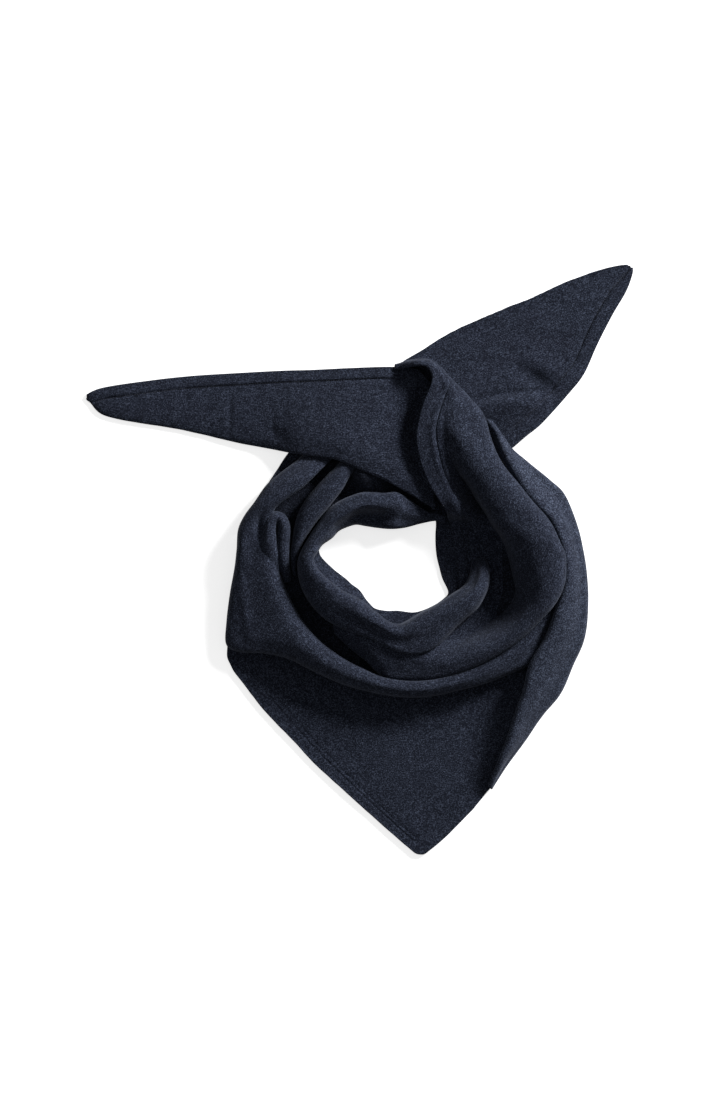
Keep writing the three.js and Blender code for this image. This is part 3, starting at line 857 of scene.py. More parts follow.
    def ragged(self, grid: np.ndarray, u: np.ndarray, v: np.ndarray) -> np.ndarray:
        """Small steps in and out of the short edges.

        Args:
            grid: the points.
            u: lengths across the cloth.
            v: lengths along it.

        Returns:
            Moves in the plan.
        """
        chance = np.random.default_rng(self.seed + FRAY_SEED)
        steps = chance.normal(0.0, FRAY[0], (grid.shape[0], 1))
        slow = np.sin(v[:, :1] / FRAY_WAVE + chance.uniform(0.0, FRAY_PHASE)) * FRAY[1]
        size = (steps + slow)[:, :, None]
        inward = unit(grid[:, 1:2] - grid[:, :1])
        outward = unit(grid[:, -1:] - grid[:, -2:-1])
        moves = np.zeros_like(grid)
        if self.inner.kind is EdgeKind.CUT:
            moves = moves + inward * size * np.exp(-u / FRAY_REACH)[:, :, None]
        if self.outer.kind is EdgeKind.CUT:
            moves = moves + outward * size * np.exp(-(u[:, -1:] - u) / FRAY_REACH)[:, :, None]
        return moves

    def keep_groove(self, grid: np.ndarray, normals: np.ndarray, u: np.ndarray) -> None:
        """Keeps the line that the hem's stitches follow, as points and normals side by side."""
        if EdgeKind.HEMMED not in (self.inner.kind, self.outer.kind):
            return
        inside = self.inner.kind is EdgeKind.HEMMED
        edge = self.inner if inside else self.outer
        column = int(np.abs(self.spots(edge) - edge.hem).argmin())
        column = column if inside else grid.shape[1] - 1 - column
        self.groove = np.hstack([grid[:, column], normals[:, column]])

    def build(self, finish: bpy.types.Material) -> bpy.types.Object:
        """Makes the cloth and gives it its thickness and its finish.

        Args:
            finish: the knit's material.

        Returns:
            The finished piece.
        """
        grid, u, v = self.shaped()
        if grid_normals(grid)[:, :, 2].mean() < 0:
            grid, u, v = grid[::-1], u[::-1], v[::-1]
        rows, lines = grid.shape[0] - 1, grid.shape[1] - 1
        bpy.ops.object.select_all(action="DESELECT")
        bpy.ops.mesh.primitive_grid_add(x_subdivisions=lines, y_subdivisions=rows, size=1.0)
        piece = bpy.context.active_object
        piece.name = self.name + "_cloth"
        mesh = piece.data
        flat = np.empty(3 * len(mesh.vertices))
        mesh.vertices.foreach_get("co", flat)
        flat = flat.reshape(-1, 3)
        j = np.rint((flat[:, 0] + 0.5) * lines).astype(int)
        i = np.rint((flat[:, 1] + 0.5) * rows).astype(int)
        points = (grid[i, j] + SHIFT) * MM
        mesh.vertices.foreach_set("co", points.ravel())
        mesh.uv_layers[0].name = "cloth"
        corners = np.empty(len(mesh.loops), dtype=np.int32)
        mesh.loops.foreach_get("vertex_index", corners)
        places = np.stack([u[i, j], v[i, j]], axis=1)[corners] * MM
        mesh.uv_layers["cloth"].data.foreach_set("uv", places.ravel())
        mesh.update()
        self.thicken(piece)
        dress(piece, finish, self.name)
        area = cell_areas(grid).sum() * MM * MM
        log.info(
            "%s: %d faces, %.4f square metres, %.0f by %.0f mm",
            piece.name, len(piece.data.polygons), area, u.max(), v.max())
        return piece

    def thicken(self, piece: bpy.types.Object) -> None:
        """Gives the cloth its wall, rounds its edges and lays it on the floor."""
        wall = piece.modifiers.new("wall", "SOLIDIFY")
        wall.thickness = WALL * MM
        wall.offset = -1.0
        wall.use_even_offset = False
        bpy.ops.object.modifier_apply(modifier=wall.name)
        round_off(piece)
        mesh = piece.data
        points = np.empty(3 * len(mesh.vertices))
        mesh.vertices.foreach_get("co", points)
        points = points.reshape(-1, 3)
        low = points[:, 2] < (SETTLE * MM if self.settles else 0.0)
        points[low, 2] = 0.0
        mesh.vertices.foreach_set("co", points.ravel())
        mesh.update()

    def declare(self, piece: bpy.types.Object, extras: Sequence[bpy.types.Object]) -> None:
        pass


def grid_normals(grid: np.ndarray) -> np.ndarray:
    """Unit normals of a grid, on the side that faces up where it lies flat.

    Args:
        grid: rows of points.

    Returns:
        A normal for each point.
    """
    along = np.gradient(grid, axis=0)
    across = np.gradient(grid, axis=1)
    normals = unit(np.cross(along, across))
    return normals if normals[:, :, 2].sum() >= 0 else -normals


def cell_areas(grid: np.ndarray) -> np.ndarray:
    """The area of each cell of a grid, from its diagonals."""
    first = grid[1:, 1:] - grid[:-1, :-1]
    second = grid[1:, :-1] - grid[:-1, 1:]
    return 0.5 * np.linalg.norm(np.cross(first, second), axis=2)


@dataclass
class LaidCloth(Cloth):
    """A stretch that lies on the surface, with its low points resting flat."""

    held: Held = Held.LAID
    rests_on: Names = ("studio_floor",)
    settles: bool = True


@dataclass
class Collar(Cloth):
    """The inner roll round the neck opening."""

    name: str = "collar"
    columns: str = "inAngle inR outAngle outR inZ lipF lipZ crestF crestZ dipF dipZ outZ"
    rows: Rows = (
        (33, 84, 37, 89, 8, 0.2, 10, 0.45, 11, 0.7, 11, 9),
        (39, 78, 43, 84, 9, 0.2, 12, 0.45, 13, 0.7, 13, 11),
        (46, 64, 50, 78, 8, 0.2, 13, 0.45, 15.5, 0.7, 15.5, 12),
        (55, 51, 65, 79, 9, 0.25, 16.5, 0.5, 20.5, 0.72, 20.5, 12),
        (72, 42.5, 76, 82, 10, 0.28, 20.5, 0.56, 27, 0.76, 28.5, 13),
        (93, 41.8, 85, 79, 4, 0.34, 17, 0.57, 31, 0.77, 32, 15),
        (107, 45.5, 96, 80, 3, 0.33, 17, 0.56, 33, 0.76, 32.8, 7),
        (119, 51.5, 105, 81, 2, 0.28, 20, 0.52, 34, 0.73, 31, 6),
        (135, 55.5, 127, 81, 2, 0.18, 24, 0.42, 34, 0.7, 31.5, 5),
        (147, 57, 145, 79, 2, 0.18, 28, 0.42, 34, 0.7, 32, 5),
        (158, 62.8, 161, 81, 2, 0.2, 31, 0.42, 35, 0.7, 33.5, 5),
        (165, 65, 168, 83, 4, 0.12, 33, 0.36, 36.5, 0.7, 34.5, 5),
        (172, 68.5, 174, 84.5, 6, 0.12, 35, 0.36, 37.5, 0.72, 35, 5),
        (180, 64, 180, 85, 6, 0.1, 35.5, 0.32, 38, 0.7, 35, 5),
        (190, 56.5, 190, 84, 6, 0.09, 36, 0.3, 38.5, 0.68, 35, 5),
        (200, 49, 200, 82.5, 6, 0.09, 36.5, 0.3, 38.5, 0.66, 35, 5),
        (212, 43.5, 212, 80, 6, 0.1, 36.5, 0.32, 38.5, 0.66, 34.5, 7),
        (225, 39.7, 225, 78, 6, 0.12, 36.5, 0.34, 38, 0.66, 33.5, 11),
        (237, 38.5, 237, 75, 6, 0.15, 36.5, 0.36, 38, 0.64, 33, 17),
        (248, 39, 248, 73.5, 6, 0.18, 36.5, 0.4, 38, 0.64, 33, 23.5),
        (260, 43.5, 260, 74, 6, 0.22, 36.5, 0.42, 38, 0.66, 33, 25.5),
        (270, 47.5, 270, 79, 6, 0.2, 36.5, 0.4, 38, 0.64, 33, 27),
        (280, 56, 280, 88, 6, 0.18, 36.5, 0.38, 38, 0.62, 33.5, 28.5),
        (290, 62, 290, 97, 6, 0.17, 36.5, 0.36, 38, 0.6, 34, 29.5),
        (300, 63, 300, 102, 6, 0.17, 36.5, 0.36, 38.5, 0.6, 35, 30),
        (312, 64.5, 312, 103, 6, 0.17, 36, 0.36, 39, 0.62, 36.5, 20),
        (325, 70.5, 325, 104, 6, 0.2, 35, 0.4, 39, 0.66, 36.5, 9),
        (338, 79, 338, 113, 6, 0.22, 33, 0.44, 39, 0.72, 36.5, 5),
        (347, 90, 347, 117, 6, 0.24, 29, 0.46, 36.5, 0.74, 34.5, 4),
        (353, 95, 353, 118, 6, 0.26, 24, 0.48, 32, 0.74, 31, 4),
        (359, 97.5, 360, 117, 5, 0.26, 15, 0.5, 22, 0.74, 21.5, 4),
        (365, 99, 366, 112, 4, 0.26, 6, 0.5, 9, 0.74, 9, 4),
    )
    inner: Edge = Edge(EdgeKind.ROLLED, 0.6)
    outer: Edge = Edge(EdgeKind.ROLLED, 2.0)
    cut: Pair = (87.0, 449.0)
    cut_area: float = 0.0290
    seed: int = 11


@dataclass
class NeckEdge(LaidCloth):
    """The hem of the long edge low down in the opening, at the front and the right."""

    name: str = "neck_edge"
    columns: str = "inAngle inR outR inZ midZ outZ"
    rows: Rows = (
        (255, 37.5, 56, 2.6, 4.5, 6),
        (265, 42.5, 62, 2.6, 4.5, 6),
        (280, 45.8, 68, 2.6, 4.5, 6),
        (295, 49.8, 74, 2.6, 4.5, 6),
        (310, 61, 82, 2.6, 4.5, 6),
        (325, 70, 90, 2.6, 4.5, 6),
        (336, 77, 97, 2.6, 3.6, 5),
        (341, 78, 99, 2.6, 3.6, 5),
        (350, 68.7, 99, 2.6, 3.8, 5),
        (360, 64.3, 97, 2.8, 4, 5),
        (370, 62.6, 96, 3, 4, 5),
        (380, 64.3, 96, 3, 4, 5),
        (390, 69.5, 99, 3, 4, 6),
        (398, 77, 103, 3, 5, 7),
        (406, 84, 108, 3, 6, 8),
    )
    unevenness: float = 0.3
    cut: Pair = (33.0, 209.0)
    cut_area: float = 0.0050
    seed: int = 12


@dataclass
class NeckLining(Cloth):
    """The lower layer that shows as a sliver inside the collar, at the left of the opening."""

    name: str = "neck_lining"
    columns: str = "inAngle inR outR inZ midZ outZ"
    rows: Rows = (
        (158, 66.5, 76, 5, 8, 10),
        (168, 62, 79, 5, 9, 13),
        (180, 48, 70, 5, 9, 14),
        (190, 39.5, 62, 5, 10, 15),
        (200, 34.5, 57, 5, 10, 16),
        (212, 32, 52, 5, 10, 16),
        (225, 30, 48, 5, 10, 16),
        (237, 31, 48, 5, 10, 15),
        (248, 34.8, 50, 4, 8, 13),
        (256, 38, 53, 3.5, 7, 11),
        (264, 42, 56, 3, 6, 9),
    )
    unevenness: float = 0.4
    cut: Pair = (25.0, 104.0)
    cut_area: float = 0.0019
    seed: int = 22


@dataclass
class Band(Cloth):
    """The wide stretch from the crossing down the right side.

    Its hem stands at the inside, its ridge at the outside, with a deep hollow between them that
    opens below the crossing.
    """

    name: str = "band"
    columns: str = (
        "inX inY outX outY inZ lipF lipZ dipF dipZ footF footZ browF browZ "
        "midF midZ ridgeF ridgeZ outZ")
    rows: Rows = (
        (36, 200.9, 36.5, 202.9, 12, 0.3, 13, 0.4, 13.3, 0.5, 13.5, 0.6, 13.5, 0.66, 13.5, 0.72, 13.5, 8),
        (43, 201.6, 43, 204.2, 14, 0.3, 15, 0.4, 15.3, 0.5, 15.5, 0.6, 15.5, 0.66, 15.5, 0.72, 15.5, 8),
        (50.5, 202.7, 49.5, 206.6, 20, 0.3, 21, 0.4, 21.3, 0.5, 21.5, 0.6, 21.5, 0.66, 21.5, 0.72, 21.5, 7),
        (60, 203.6, 60, 208.2, 26, 0.3, 27, 0.4, 27.3, 0.5, 27.5, 0.6, 27.5, 0.66, 27.5, 0.72, 27.5, 7),
        (68.5, 203.2, 71.5, 208, 28, 0.3, 29, 0.4, 29.3, 0.5, 29.5, 0.6, 29.5, 0.66, 29.5, 0.72, 29, 7),
        (73.5, 198.5, 80, 203, 29, 0.3, 30, 0.38, 30.2, 0.46, 30.5, 0.58, 30.5, 0.65, 30.5, 0.72, 30, 7),
        (75.5, 192, 88, 195.5, 30, 0.3, 30.5, 0.38, 30.5, 0.48, 30.5, 0.6, 31, 0.68, 31, 0.76, 30, 8),
        (74.5, 184, 97, 186, 30.5, 0.34, 31.5, 0.42, 31, 0.5, 31, 0.62, 32, 0.7, 31.5, 0.78, 30, 9),
        (70, 173, 107, 177, 31, 0.36, 32, 0.44, 31.5, 0.52, 31.5, 0.62, 32, 0.7, 31.5, 0.8, 30, 9),
        (65.5, 162, 116, 167, 31.5, 0.38, 32.5, 0.44, 32, 0.52, 32, 0.62, 32.5, 0.71, 32, 0.8, 30.5, 9),
        (61.5, 147, 123.5, 158, 31.5, 0.36, 33, 0.43, 32.8, 0.5, 34, 0.6, 35, 0.7, 34, 0.8, 32.5, 10),
        (59, 129, 130, 147, 31, 0.35, 33, 0.42, 33, 0.5, 36, 0.6, 38, 0.7, 37.2, 0.82, 35, 14),
        (61, 113, 136, 126, 30, 0.33, 32, 0.4, 31.5, 0.48, 34.5, 0.57, 39.5, 0.7, 40.3, 0.84, 38, 17),
        (65, 98, 146, 102, 28, 0.29, 29.5, 0.42, 23, 0.47, 29.5, 0.535, 37.5, 0.67, 42.5, 0.84, 42.5, 20),
        (72, 81, 163, 80, 27, 0.245, 28, 0.44, 13, 0.482, 27, 0.535, 39, 0.67, 45, 0.84, 45.5, 22),
        (80, 67, 180, 59, 27, 0.21, 27, 0.42, 6, 0.455, 24, 0.5, 39, 0.65, 45.5, 0.84, 46, 25),
        (86, 58, 192, 46, 26, 0.18, 26, 0.41, 4.5, 0.445, 24, 0.487, 38.5, 0.64, 45.3, 0.84, 46.2, 26),
        (91, 51, 199, 36, 23, 0.15, 22, 0.4, 4, 0.435, 24, 0.475, 38.5, 0.63, 45.5, 0.84, 46.5, 27),
        (93, 44, 204, 26, 9, 0.13, 8, 0.415, 4, 0.45, 24, 0.49, 37.5, 0.645, 45.3, 0.85, 46.5, 27),
        (96, 33, 208, 17, 4, 0.13, 4, 0.45, 4, 0.49, 23, 0.535, 36.5, 0.68, 45, 0.86, 46.5, 27),
        (99, 14, 213, 4, 3.5, 0.13, 3.6, 0.475, 4, 0.51, 17, 0.565, 31, 0.69, 42.3, 0.87, 45, 27),
        (102, -5, 213, -21, 3.5, 0.13, 3.6, 0.5, 4.5, 0.54, 13, 0.6, 26, 0.74, 40.2, 0.88, 43.2, 27),
        (105, -24, 204, -42, 3.5, 0.14, 3.6, 0.57, 4.5, 0.61, 11, 0.68, 23.5, 0.8, 37.5, 0.91, 41, 26),
        (102, -43, 189, -60, 3.5, 0.15, 3.6, 0.56, 4, 0.61, 8, 0.68, 18, 0.8, 32.5, 0.9, 37.2, 25),
        (90, -61, 169, -80, 4, 0.2, 4, 0.48, 6, 0.57, 10.5, 0.67, 19.5, 0.78, 28.5, 0.89, 34.5, 24),
        (72, -72, 143, -98, 5, 0.2, 7, 0.46, 10, 0.56, 15, 0.67, 24.5, 0.79, 30.5, 0.88, 32, 23),
        (51, -76, 113, -112.5, 8, 0.2, 13, 0.44, 20.5, 0.56, 22, 0.68, 26, 0.8, 28.8, 0.88, 28.5, 21),
        (33, -73, 84, -122, 12, 0.2, 17, 0.42, 26.5, 0.53, 27, 0.66, 27, 0.77, 26, 0.87, 25, 18),
        (17, -67, 56, -125.5, 13, 0.16, 20, 0.32, 27, 0.46, 26.5, 0.6, 25.5, 0.74, 24, 0.86, 22.5, 15),
        (4, -62, 31, -123.5, 13, 0.17, 20, 0.34, 25.5, 0.48, 25, 0.62, 24, 0.74, 22.5, 0.86, 20.5, 13),
        (-6, -58, 20, -117, 12, 0.17, 18, 0.34, 24, 0.48, 24, 0.62, 23, 0.74, 21.5, 0.86, 19, 11),
        (-14, -52, 8, -105, 11, 0.2, 17, 0.4, 22.5, 0.5, 22.5, 0.62, 21.5, 0.74, 20, 0.86, 17.5, 9),
        (-22, -46, -9.5, -91, 10, 0.24, 15, 0.47, 19.5, 0.56, 19.5, 0.67, 18.5, 0.78, 16.5, 0.87, 14, 7),
        (-30, -42, -27, -75, 8, 0.24, 11, 0.46, 14, 0.56, 14, 0.68, 13.5, 0.78, 12.5, 0.87, 11, 6),
    )
    inner: Edge = Edge(EdgeKind.HEMMED, hem=20.5, seam=3.4)
    outer: Edge = Edge(EdgeKind.ROLLED, 3.0)
    rests_on: Names = ("hidden_layers_cloth", "left_tail_cloth")
    unevenness: float = 0.4
    cut: Pair = (162.0, 545.0)
    cut_area: float = 0.0487
    seed: int = 13
    creases: Tuple[Crease, ...] = (
        Crease(((92, 70), (99, 60), (101, 53)), (1.0, 3.5, 2.0), 6.0),
        Crease(((88, 140), (100, 130), (116, 116)), (0.5, 2.0, 0.5), 8.0),
    )


@dataclass
class FrontFold(Cloth):
    """The outer roll at the upper left, down the left side and along the front."""

    name: str = "front_fold"
    columns: str = (
        "inAngle inR outAngle outR inZ crestF crestZ valeF valeZ brimF brimZ outZ")
    rows: Rows = (
        (104, 133, 115, 150, 9, 0.35, 12, 0.52, 12, 0.68, 12, 9),
        (112, 124, 126, 142, 12, 0.35, 17, 0.52, 17, 0.68, 16, 8),
        (122, 118, 134, 143, 19, 0.35, 25, 0.52, 25, 0.68, 23, 5),
        (133, 116, 143, 146, 20, 0.35, 29, 0.52, 29, 0.68, 27, 4),
        (143, 120, 152, 147, 20, 0.35, 30, 0.52, 30, 0.68, 29, 4),
        (151, 124, 159, 151, 18, 0.35, 29, 0.52, 29, 0.68, 28, 4),
        (159, 116, 165, 152.5, 10, 0.3, 27, 0.58, 27, 0.82, 27, 4),
        (169, 110, 173, 149.5, 6, 0.26, 27, 0.6, 25, 0.86, 26, 3),
        (180, 105, 180, 150.5, 6, 0.25, 28, 0.6, 25, 0.86, 22.5, 3),
        (190, 100.5, 190, 158.5, 6, 0.22, 28, 0.56, 24.6, 0.84, 22, 3),
        (200, 97.5, 200, 170.5, 6, 0.2, 28.5, 0.54, 23.5, 0.82, 20, 3),
        (207, 96.5, 207, 180, 6, 0.18, 29, 0.5, 23.2, 0.8, 18, 3),
        (212, 96.5, 211.5, 171, 6, 0.22, 30, 0.52, 25.4, 0.8, 19.5, 3),
        (217, 96.5, 216.5, 151, 6, 0.27, 31, 0.52, 28.4, 0.8, 22.8, 4),
        (225, 97, 225, 135, 6, 0.34, 31, 0.54, 31, 0.72, 28, 2.4),
        (235, 98.5, 235, 129.5, 7, 0.36, 31, 0.52, 31, 0.68, 29, 2.4),
        (250, 102, 250, 128, 10, 0.36, 31, 0.51, 31.5, 0.66, 30, 2.4),
        (262, 107, 262, 130, 14, 0.36, 31, 0.51, 31.5, 0.66, 30, 2.4),
        (272, 114, 272, 133.5, 15, 0.36, 31, 0.51, 31.5, 0.66, 30, 2.4),
        (282, 120.5, 282, 139, 16, 0.36, 30, 0.51, 30.5, 0.66, 29, 2.4),
        (292, 127.5, 292, 146, 16, 0.36, 30, 0.51, 30.5, 0.66, 29, 2.4),
        (302, 134, 302, 153.5, 16, 0.36, 29, 0.51, 29.5, 0.66, 28, 2.4),
        (312, 142, 312, 165, 16, 0.36, 28, 0.51, 28.5, 0.66, 27, 2.4),
        (322, 150.5, 322, 179, 15, 0.34, 27, 0.5, 27, 0.66, 25, 2.4),
        (330, 160, 330, 193, 15, 0.32, 26, 0.47, 25.5, 0.62, 23, 6),
        (340, 174, 340, 195, 15, 0.32, 24, 0.46, 23.5, 0.6, 21, 8),
        (350, 189, 350, 200, 14, 0.4, 20, 0.5, 20, 0.6, 19, 12),
    )
    inner: Edge = Edge(EdgeKind.ROLLED, 1.5)
    outer: Edge = Edge(EdgeKind.ROLLED, 3.0)
    rests_on: Names = ("hidden_layers_cloth", "front_panel_cloth")
    cut: Pair = (112.0, 604.0)
    cut_area: float = 0.0364
    seed: int = 14
    creases: Tuple[Crease, ...] = (
        Crease(((-101, 48), (-105, 41), (-106, 31), (-104, 21), (-99, 13)),
               (-2.0, -4.5, -5.0, -3.0, -0.5), 4.2),
        Crease(((-128, 8), (-125, -17), (-122, -42), (-118.5, -66), (-115, -84)),
               (0.5, 1.0, 1.2, 1.2, 0.6), 4.0),
    )


@dataclass
class SecondStrand(Cloth):
    """The narrow strand between the collar and the outer roll at the upper left."""

    name: str = "second_strand"
    columns: str = "inAngle inR outAngle outR inZ crestZ outZ"
    rows: Rows = (
        (93, 122, 103, 132, 11, 18, 11),
        (101, 110, 110, 118, 9, 21, 7),
        (108, 98.5, 119.5, 111, 10, 25, 6),
        (115, 89.5, 130, 106.5, 12, 28, 6),
        (126, 83, 139, 104, 12, 29, 6),
        (143, 80.5, 149, 100.5, 12, 28, 6),
        (159, 82.5, 162, 95, 10, 25, 6),
        (171, 85, 171.5, 93, 8, 21, 6),
        (179, 86, 179, 91.5, 8, 15, 6),
        (186, 86.5, 186, 89.5, 8, 10, 6),
    )
    inner: Edge = Edge(EdgeKind.ROLLED, 0.8)
    outer: Edge = Edge(EdgeKind.ROLLED, 0.8)
    unevenness: float = 0.3
    cut: Pair = (59.0, 159.0)
    cut_area: float = 0.0064
    seed: int = 15


@dataclass
class HookFold(Cloth):
    """The small doubled tongue where the outer roll turns in at the left."""

    name: str = "hook_fold"
    columns: str = "inX inY outX outY inZ crestZ outZ"
    rows: Rows = (
        (-84, -12, -101, -14, 10, 17, 12),
        (-86, 3, -101, 2, 14, 24, 18),
        (-88.5, 17, -101, 16, 14, 28, 20),
        (-89.5, 29, -100.5, 31, 10, 28, 12),
        (-89, 37, -97.5, 43, 9, 28, 9),
        (-87, 39.5, -89, 49.5, 9, 27, 8),
        (-85, 38.5, -80, 46, 9, 26, 8),
        (-84.5, 31, -75, 33.5, 8, 26, 8),
        (-86.5, 15, -75.5, 15, 7, 25, 8),
        (-86, 0, -76, 0, 6, 22, 8),
        (-82, -13, -75.5, -12.5, 6, 15, 7),
        (-78, -24, -74.5, -22.5, 4, 7, 5),
    )
    inner: Edge = Edge(EdgeKind.ROLLED, 0.8)
    outer: Edge = Edge(EdgeKind.ROLLED, 0.8)
    rests_on: Names = ("hidden_layers_cloth", "front_fold_cloth")
    unevenness: float = 0.1
    cut: Pair = (42.0, 138.0)
    cut_area: float = 0.0044
    seed: int = 16


@dataclass
class LeftTail(LaidCloth):
    """The left tail: hem along the upper edge, folded under along the lower one."""

    name: str = "left_tail"
    columns: str = "inX inY outX outY inZ innerF innerZ outerF outerZ outZ"
    rows: Rows = (
        (-288, 174, -288, 168.5, 3, 0.4, 3, 0.6, 3, 0.2),
        (-284, 177, -284, 164, 3, 0.4, 3.6, 0.6, 3.6, 0.2),
        (-270, 182, -270.5, 152.8, 3, 0.4, 4.6, 0.65, 4.8, 0.2),
        (-235, 187.5, -235, 144.8, 3, 0.4, 5, 0.7, 5.4, 0.2),
        (-183, 193.5, -189, 136.8, 3, 0.42, 5, 0.7, 6, 0.2),
        (-138, 196.5, -141, 125.8, 3.4, 0.42, 6.5, 0.72, 7.5, 0.2),
        (-89, 199.3, -100, 117, 4.5, 0.4, 9, 0.72, 11, 2),
        (-47, 200.5, -63, 110, 8, 0.38, 16, 0.74, 20, 15),
        (-10, 202, -27, 105, 12, 0.38, 19, 0.76, 25, 20),
        (21, 203, 0, 94, 13, 0.38, 20, 0.78, 26, 21),
        (47, 203, 26, 82, 12, 0.36, 18, 0.8, 25, 21),
        (60, 201, 45, 72, 12, 0.34, 16, 0.8, 24, 20),
        (66, 196, 62, 62, 12, 0.34, 15, 0.82, 23, 20),
        (73, 188, 71, 56, 12, 0.34, 15, 0.84, 22, 19),
        (80, 180, 79, 52, 12, 0.34, 15, 0.84, 20, 18),
    )
    inner: Edge = Edge(EdgeKind.HEMMED, hem=13.5, seam=1.2)
    outer: Edge = Edge(EdgeKind.ROLLED, 7.0)
    rests_on: Names = ("studio_floor", "hidden_layers_cloth", "front_fold_cloth")
    cut: Pair = (141.0, 388.0)
    cut_area: float = 0.0334
    seed: int = 17
    creases: Tuple[Crease, ...] = (
        Crease(((71, 189), (67, 177), (62, 166), (58, 152), (56, 140), (55, 128), (57, 113),
                (62, 97), (69, 79), (78, 63)),
               (-1.0, -2.0, -4.0, -6.0, -7.0, -7.0, -6.0, -5.0, -4.0, -3.0), 8.5),
        Crease(((36, 196), (39, 186), (41, 172)), (-1.5, -2.5, -1.0), 9.0),
        Crease(((-139, 182), (-137, 165), (-137, 148), (-138, 131)), (-0.6, -1.5, -1.5, -0.8), 2.2),
        Crease(((-184, 188), (-183, 176), (-182, 164)), (-0.3, -0.9, -0.3), 2.0),
        Crease(((-92, 170), (-92, 150), (-90, 128)), (-0.2, -0.8, -0.8), 2.0),
        Crease(((-98, 140), (-86, 131), (-77, 126)), (-0.8, -1.6, -0.6), 7.0),
    )


@dataclass
class RightTail(LaidCloth):
    """The right tail: rough short edge at the upper left, hem at the lower right."""

    name: str = "right_tail"
    columns: str = "inX inY outX outY inZ innerF innerZ outerF outerZ outZ"
    rows: Rows = (
        (30, 186, 141, 95, 7, 0.35, 8, 0.7, 7.5, 4.2),
        (37, 198, 151, 112, 8, 0.35, 9.4, 0.7, 8.8, 4.8),
        (43.5, 208, 154, 115, 8, 0.35, 9.4, 0.7, 8.8, 4.8),
        (65.5, 221, 161, 118, 6, 0.35, 7.4, 0.7, 8.4, 4.4),
        (85, 233.3, 175, 130, 4, 0.35, 5.5, 0.75, 9, 4),
        (111, 247.3, 192, 144, 3.2, 0.35, 4.5, 0.75, 8, 4),
        (144, 261.2, 219.2, 174.2, 3, 0.35, 4, 0.7, 5, 3.4),
        (173.5, 273.2, 236.3, 196.3, 3, 0.35, 4, 0.7, 5, 3),
        (199.5, 285, 250.3, 227.3, 3, 0.35, 3.6, 0.7, 4, 3),
        (225, 295.8, 266.2, 258.4, 3, 0.35, 3.4, 0.7, 3.4, 3),
        (247, 303.8, 280.2, 282.4, 3, 0.35, 3.2, 0.7, 3.2, 3),
        (271, 310, 287, 300.5, 3, 0.4, 3.2, 0.6, 3.2, 3),
        (281, 310.5, 287.5, 308, 2.8, 0.4, 3, 0.6, 3, 2.8),
    )
    outer: Edge = Edge(EdgeKind.HEMMED, hem=17.0)
    rough_edges: bool = True
    cut: Pair = (145.0, 269.0)
    cut_area: float = 0.0268
    seed: int = 18
    creases: Tuple[Crease, ...] = (
        Crease(((168, 199), (182, 191), (199, 181)), (-1.8, -3.4, -2.4), 8.0),
        Crease(((176, 214), (193, 206), (206, 196)), (0.6, 1.8, 1.0), 9.0),
        Crease(((117, 166), (140, 173), (164, 176), (189, 178)), (-1.8, -3.0, -3.0, -2.4), 3.6),
        Crease(((122, 154), (146, 163), (168, 166), (192, 165)), (1.5, 3.4, 3.4, 1.5), 9.0),
    )


@dataclass
class RightFlap(Cloth):
    """The short edge turned over the front panel along the right side."""

    name: str = "right_flap"
    columns: str = (
        "inX inY outX outY tuckF tuckZ inZ innerF innerZ outerF outerZ outZ")
    rows: Rows = (
        (132, 149, 136, 146.5, -0.8, 5, 8.5, 0.4, 9, 0.6, 9, 8),
        (143.5, 133.5, 150, 128.5, -0.8, 5, 12, 0.4, 12, 0.6, 11, 8),
        (148.5, 121, 158, 116.5, -0.6, 5, 18, 0.4, 16.5, 0.66, 13, 6),
        (155, 105, 174, 102.5, -0.34, 5, 24, 0.4, 20, 0.7, 14, 1),
        (169, 79, 199.5, 82, -0.2, 6, 28, 0.36, 23, 0.7, 14, 0.2),
        (185, 58, 213.7, 68, -0.18, 12, 31, 0.36, 26, 0.7, 16, 0.2),
        (200, 43, 223, 46.5, -0.14, 20, 32, 0.36, 27, 0.68, 18, 0.2),
        (211, 20, 230.3, 19.7, -0.06, 26, 32, 0.36, 27, 0.68, 18, 0.2),
        (217, -7, 236, -10, -0.06, 27, 32, 0.36, 27, 0.68, 18, 0.2),
        (215, -31, 237.8, -45, -0.06, 26, 31, 0.36, 26, 0.68, 17, 0.2),
        (207, -58, 234.3, -81, -0.06, 26, 31, 0.36, 26.5, 0.74, 16, 0.2),
        (197, -84, 223.3, -109, -0.06, 26, 30, 0.36, 26, 0.8, 15, 0.2),
        (182, -111, 209.7, -139, -0.06, 25, 29, 0.36, 25, 0.82, 14, 0.2),
        (175, -136, 193.7, -159, -0.06, 24, 28, 0.36, 24, 0.84, 14, 0.2),
        (167, -158, 178.7, -180, -0.06, 22, 26, 0.36, 22, 0.84, 13, 0.2),
        (157, -189, 162, -202, -0.1, 19, 22, 0.4, 19, 0.8, 12, 0.2),
        (147, -213, 149, -221, -0.1, 15, 18, 0.4, 14, 0.6, 10, 0.2),
        (136, -238, 137, -241, -0.1, 7, 8, 0.4, 8, 0.6, 7, 0.2),
    )
    outer: Edge = Edge(EdgeKind.ROLLED, 3.0)
    rests_on: Names = ("hidden_layers_cloth", "front_panel_cloth")
    rough_edges: bool = True
    short_lines: Tuple[float, ...] = ()
    unevenness: float = 0.4
    cut: Pair = (71.0, 444.0)
    cut_area: float = 0.0198
    seed: int = 19


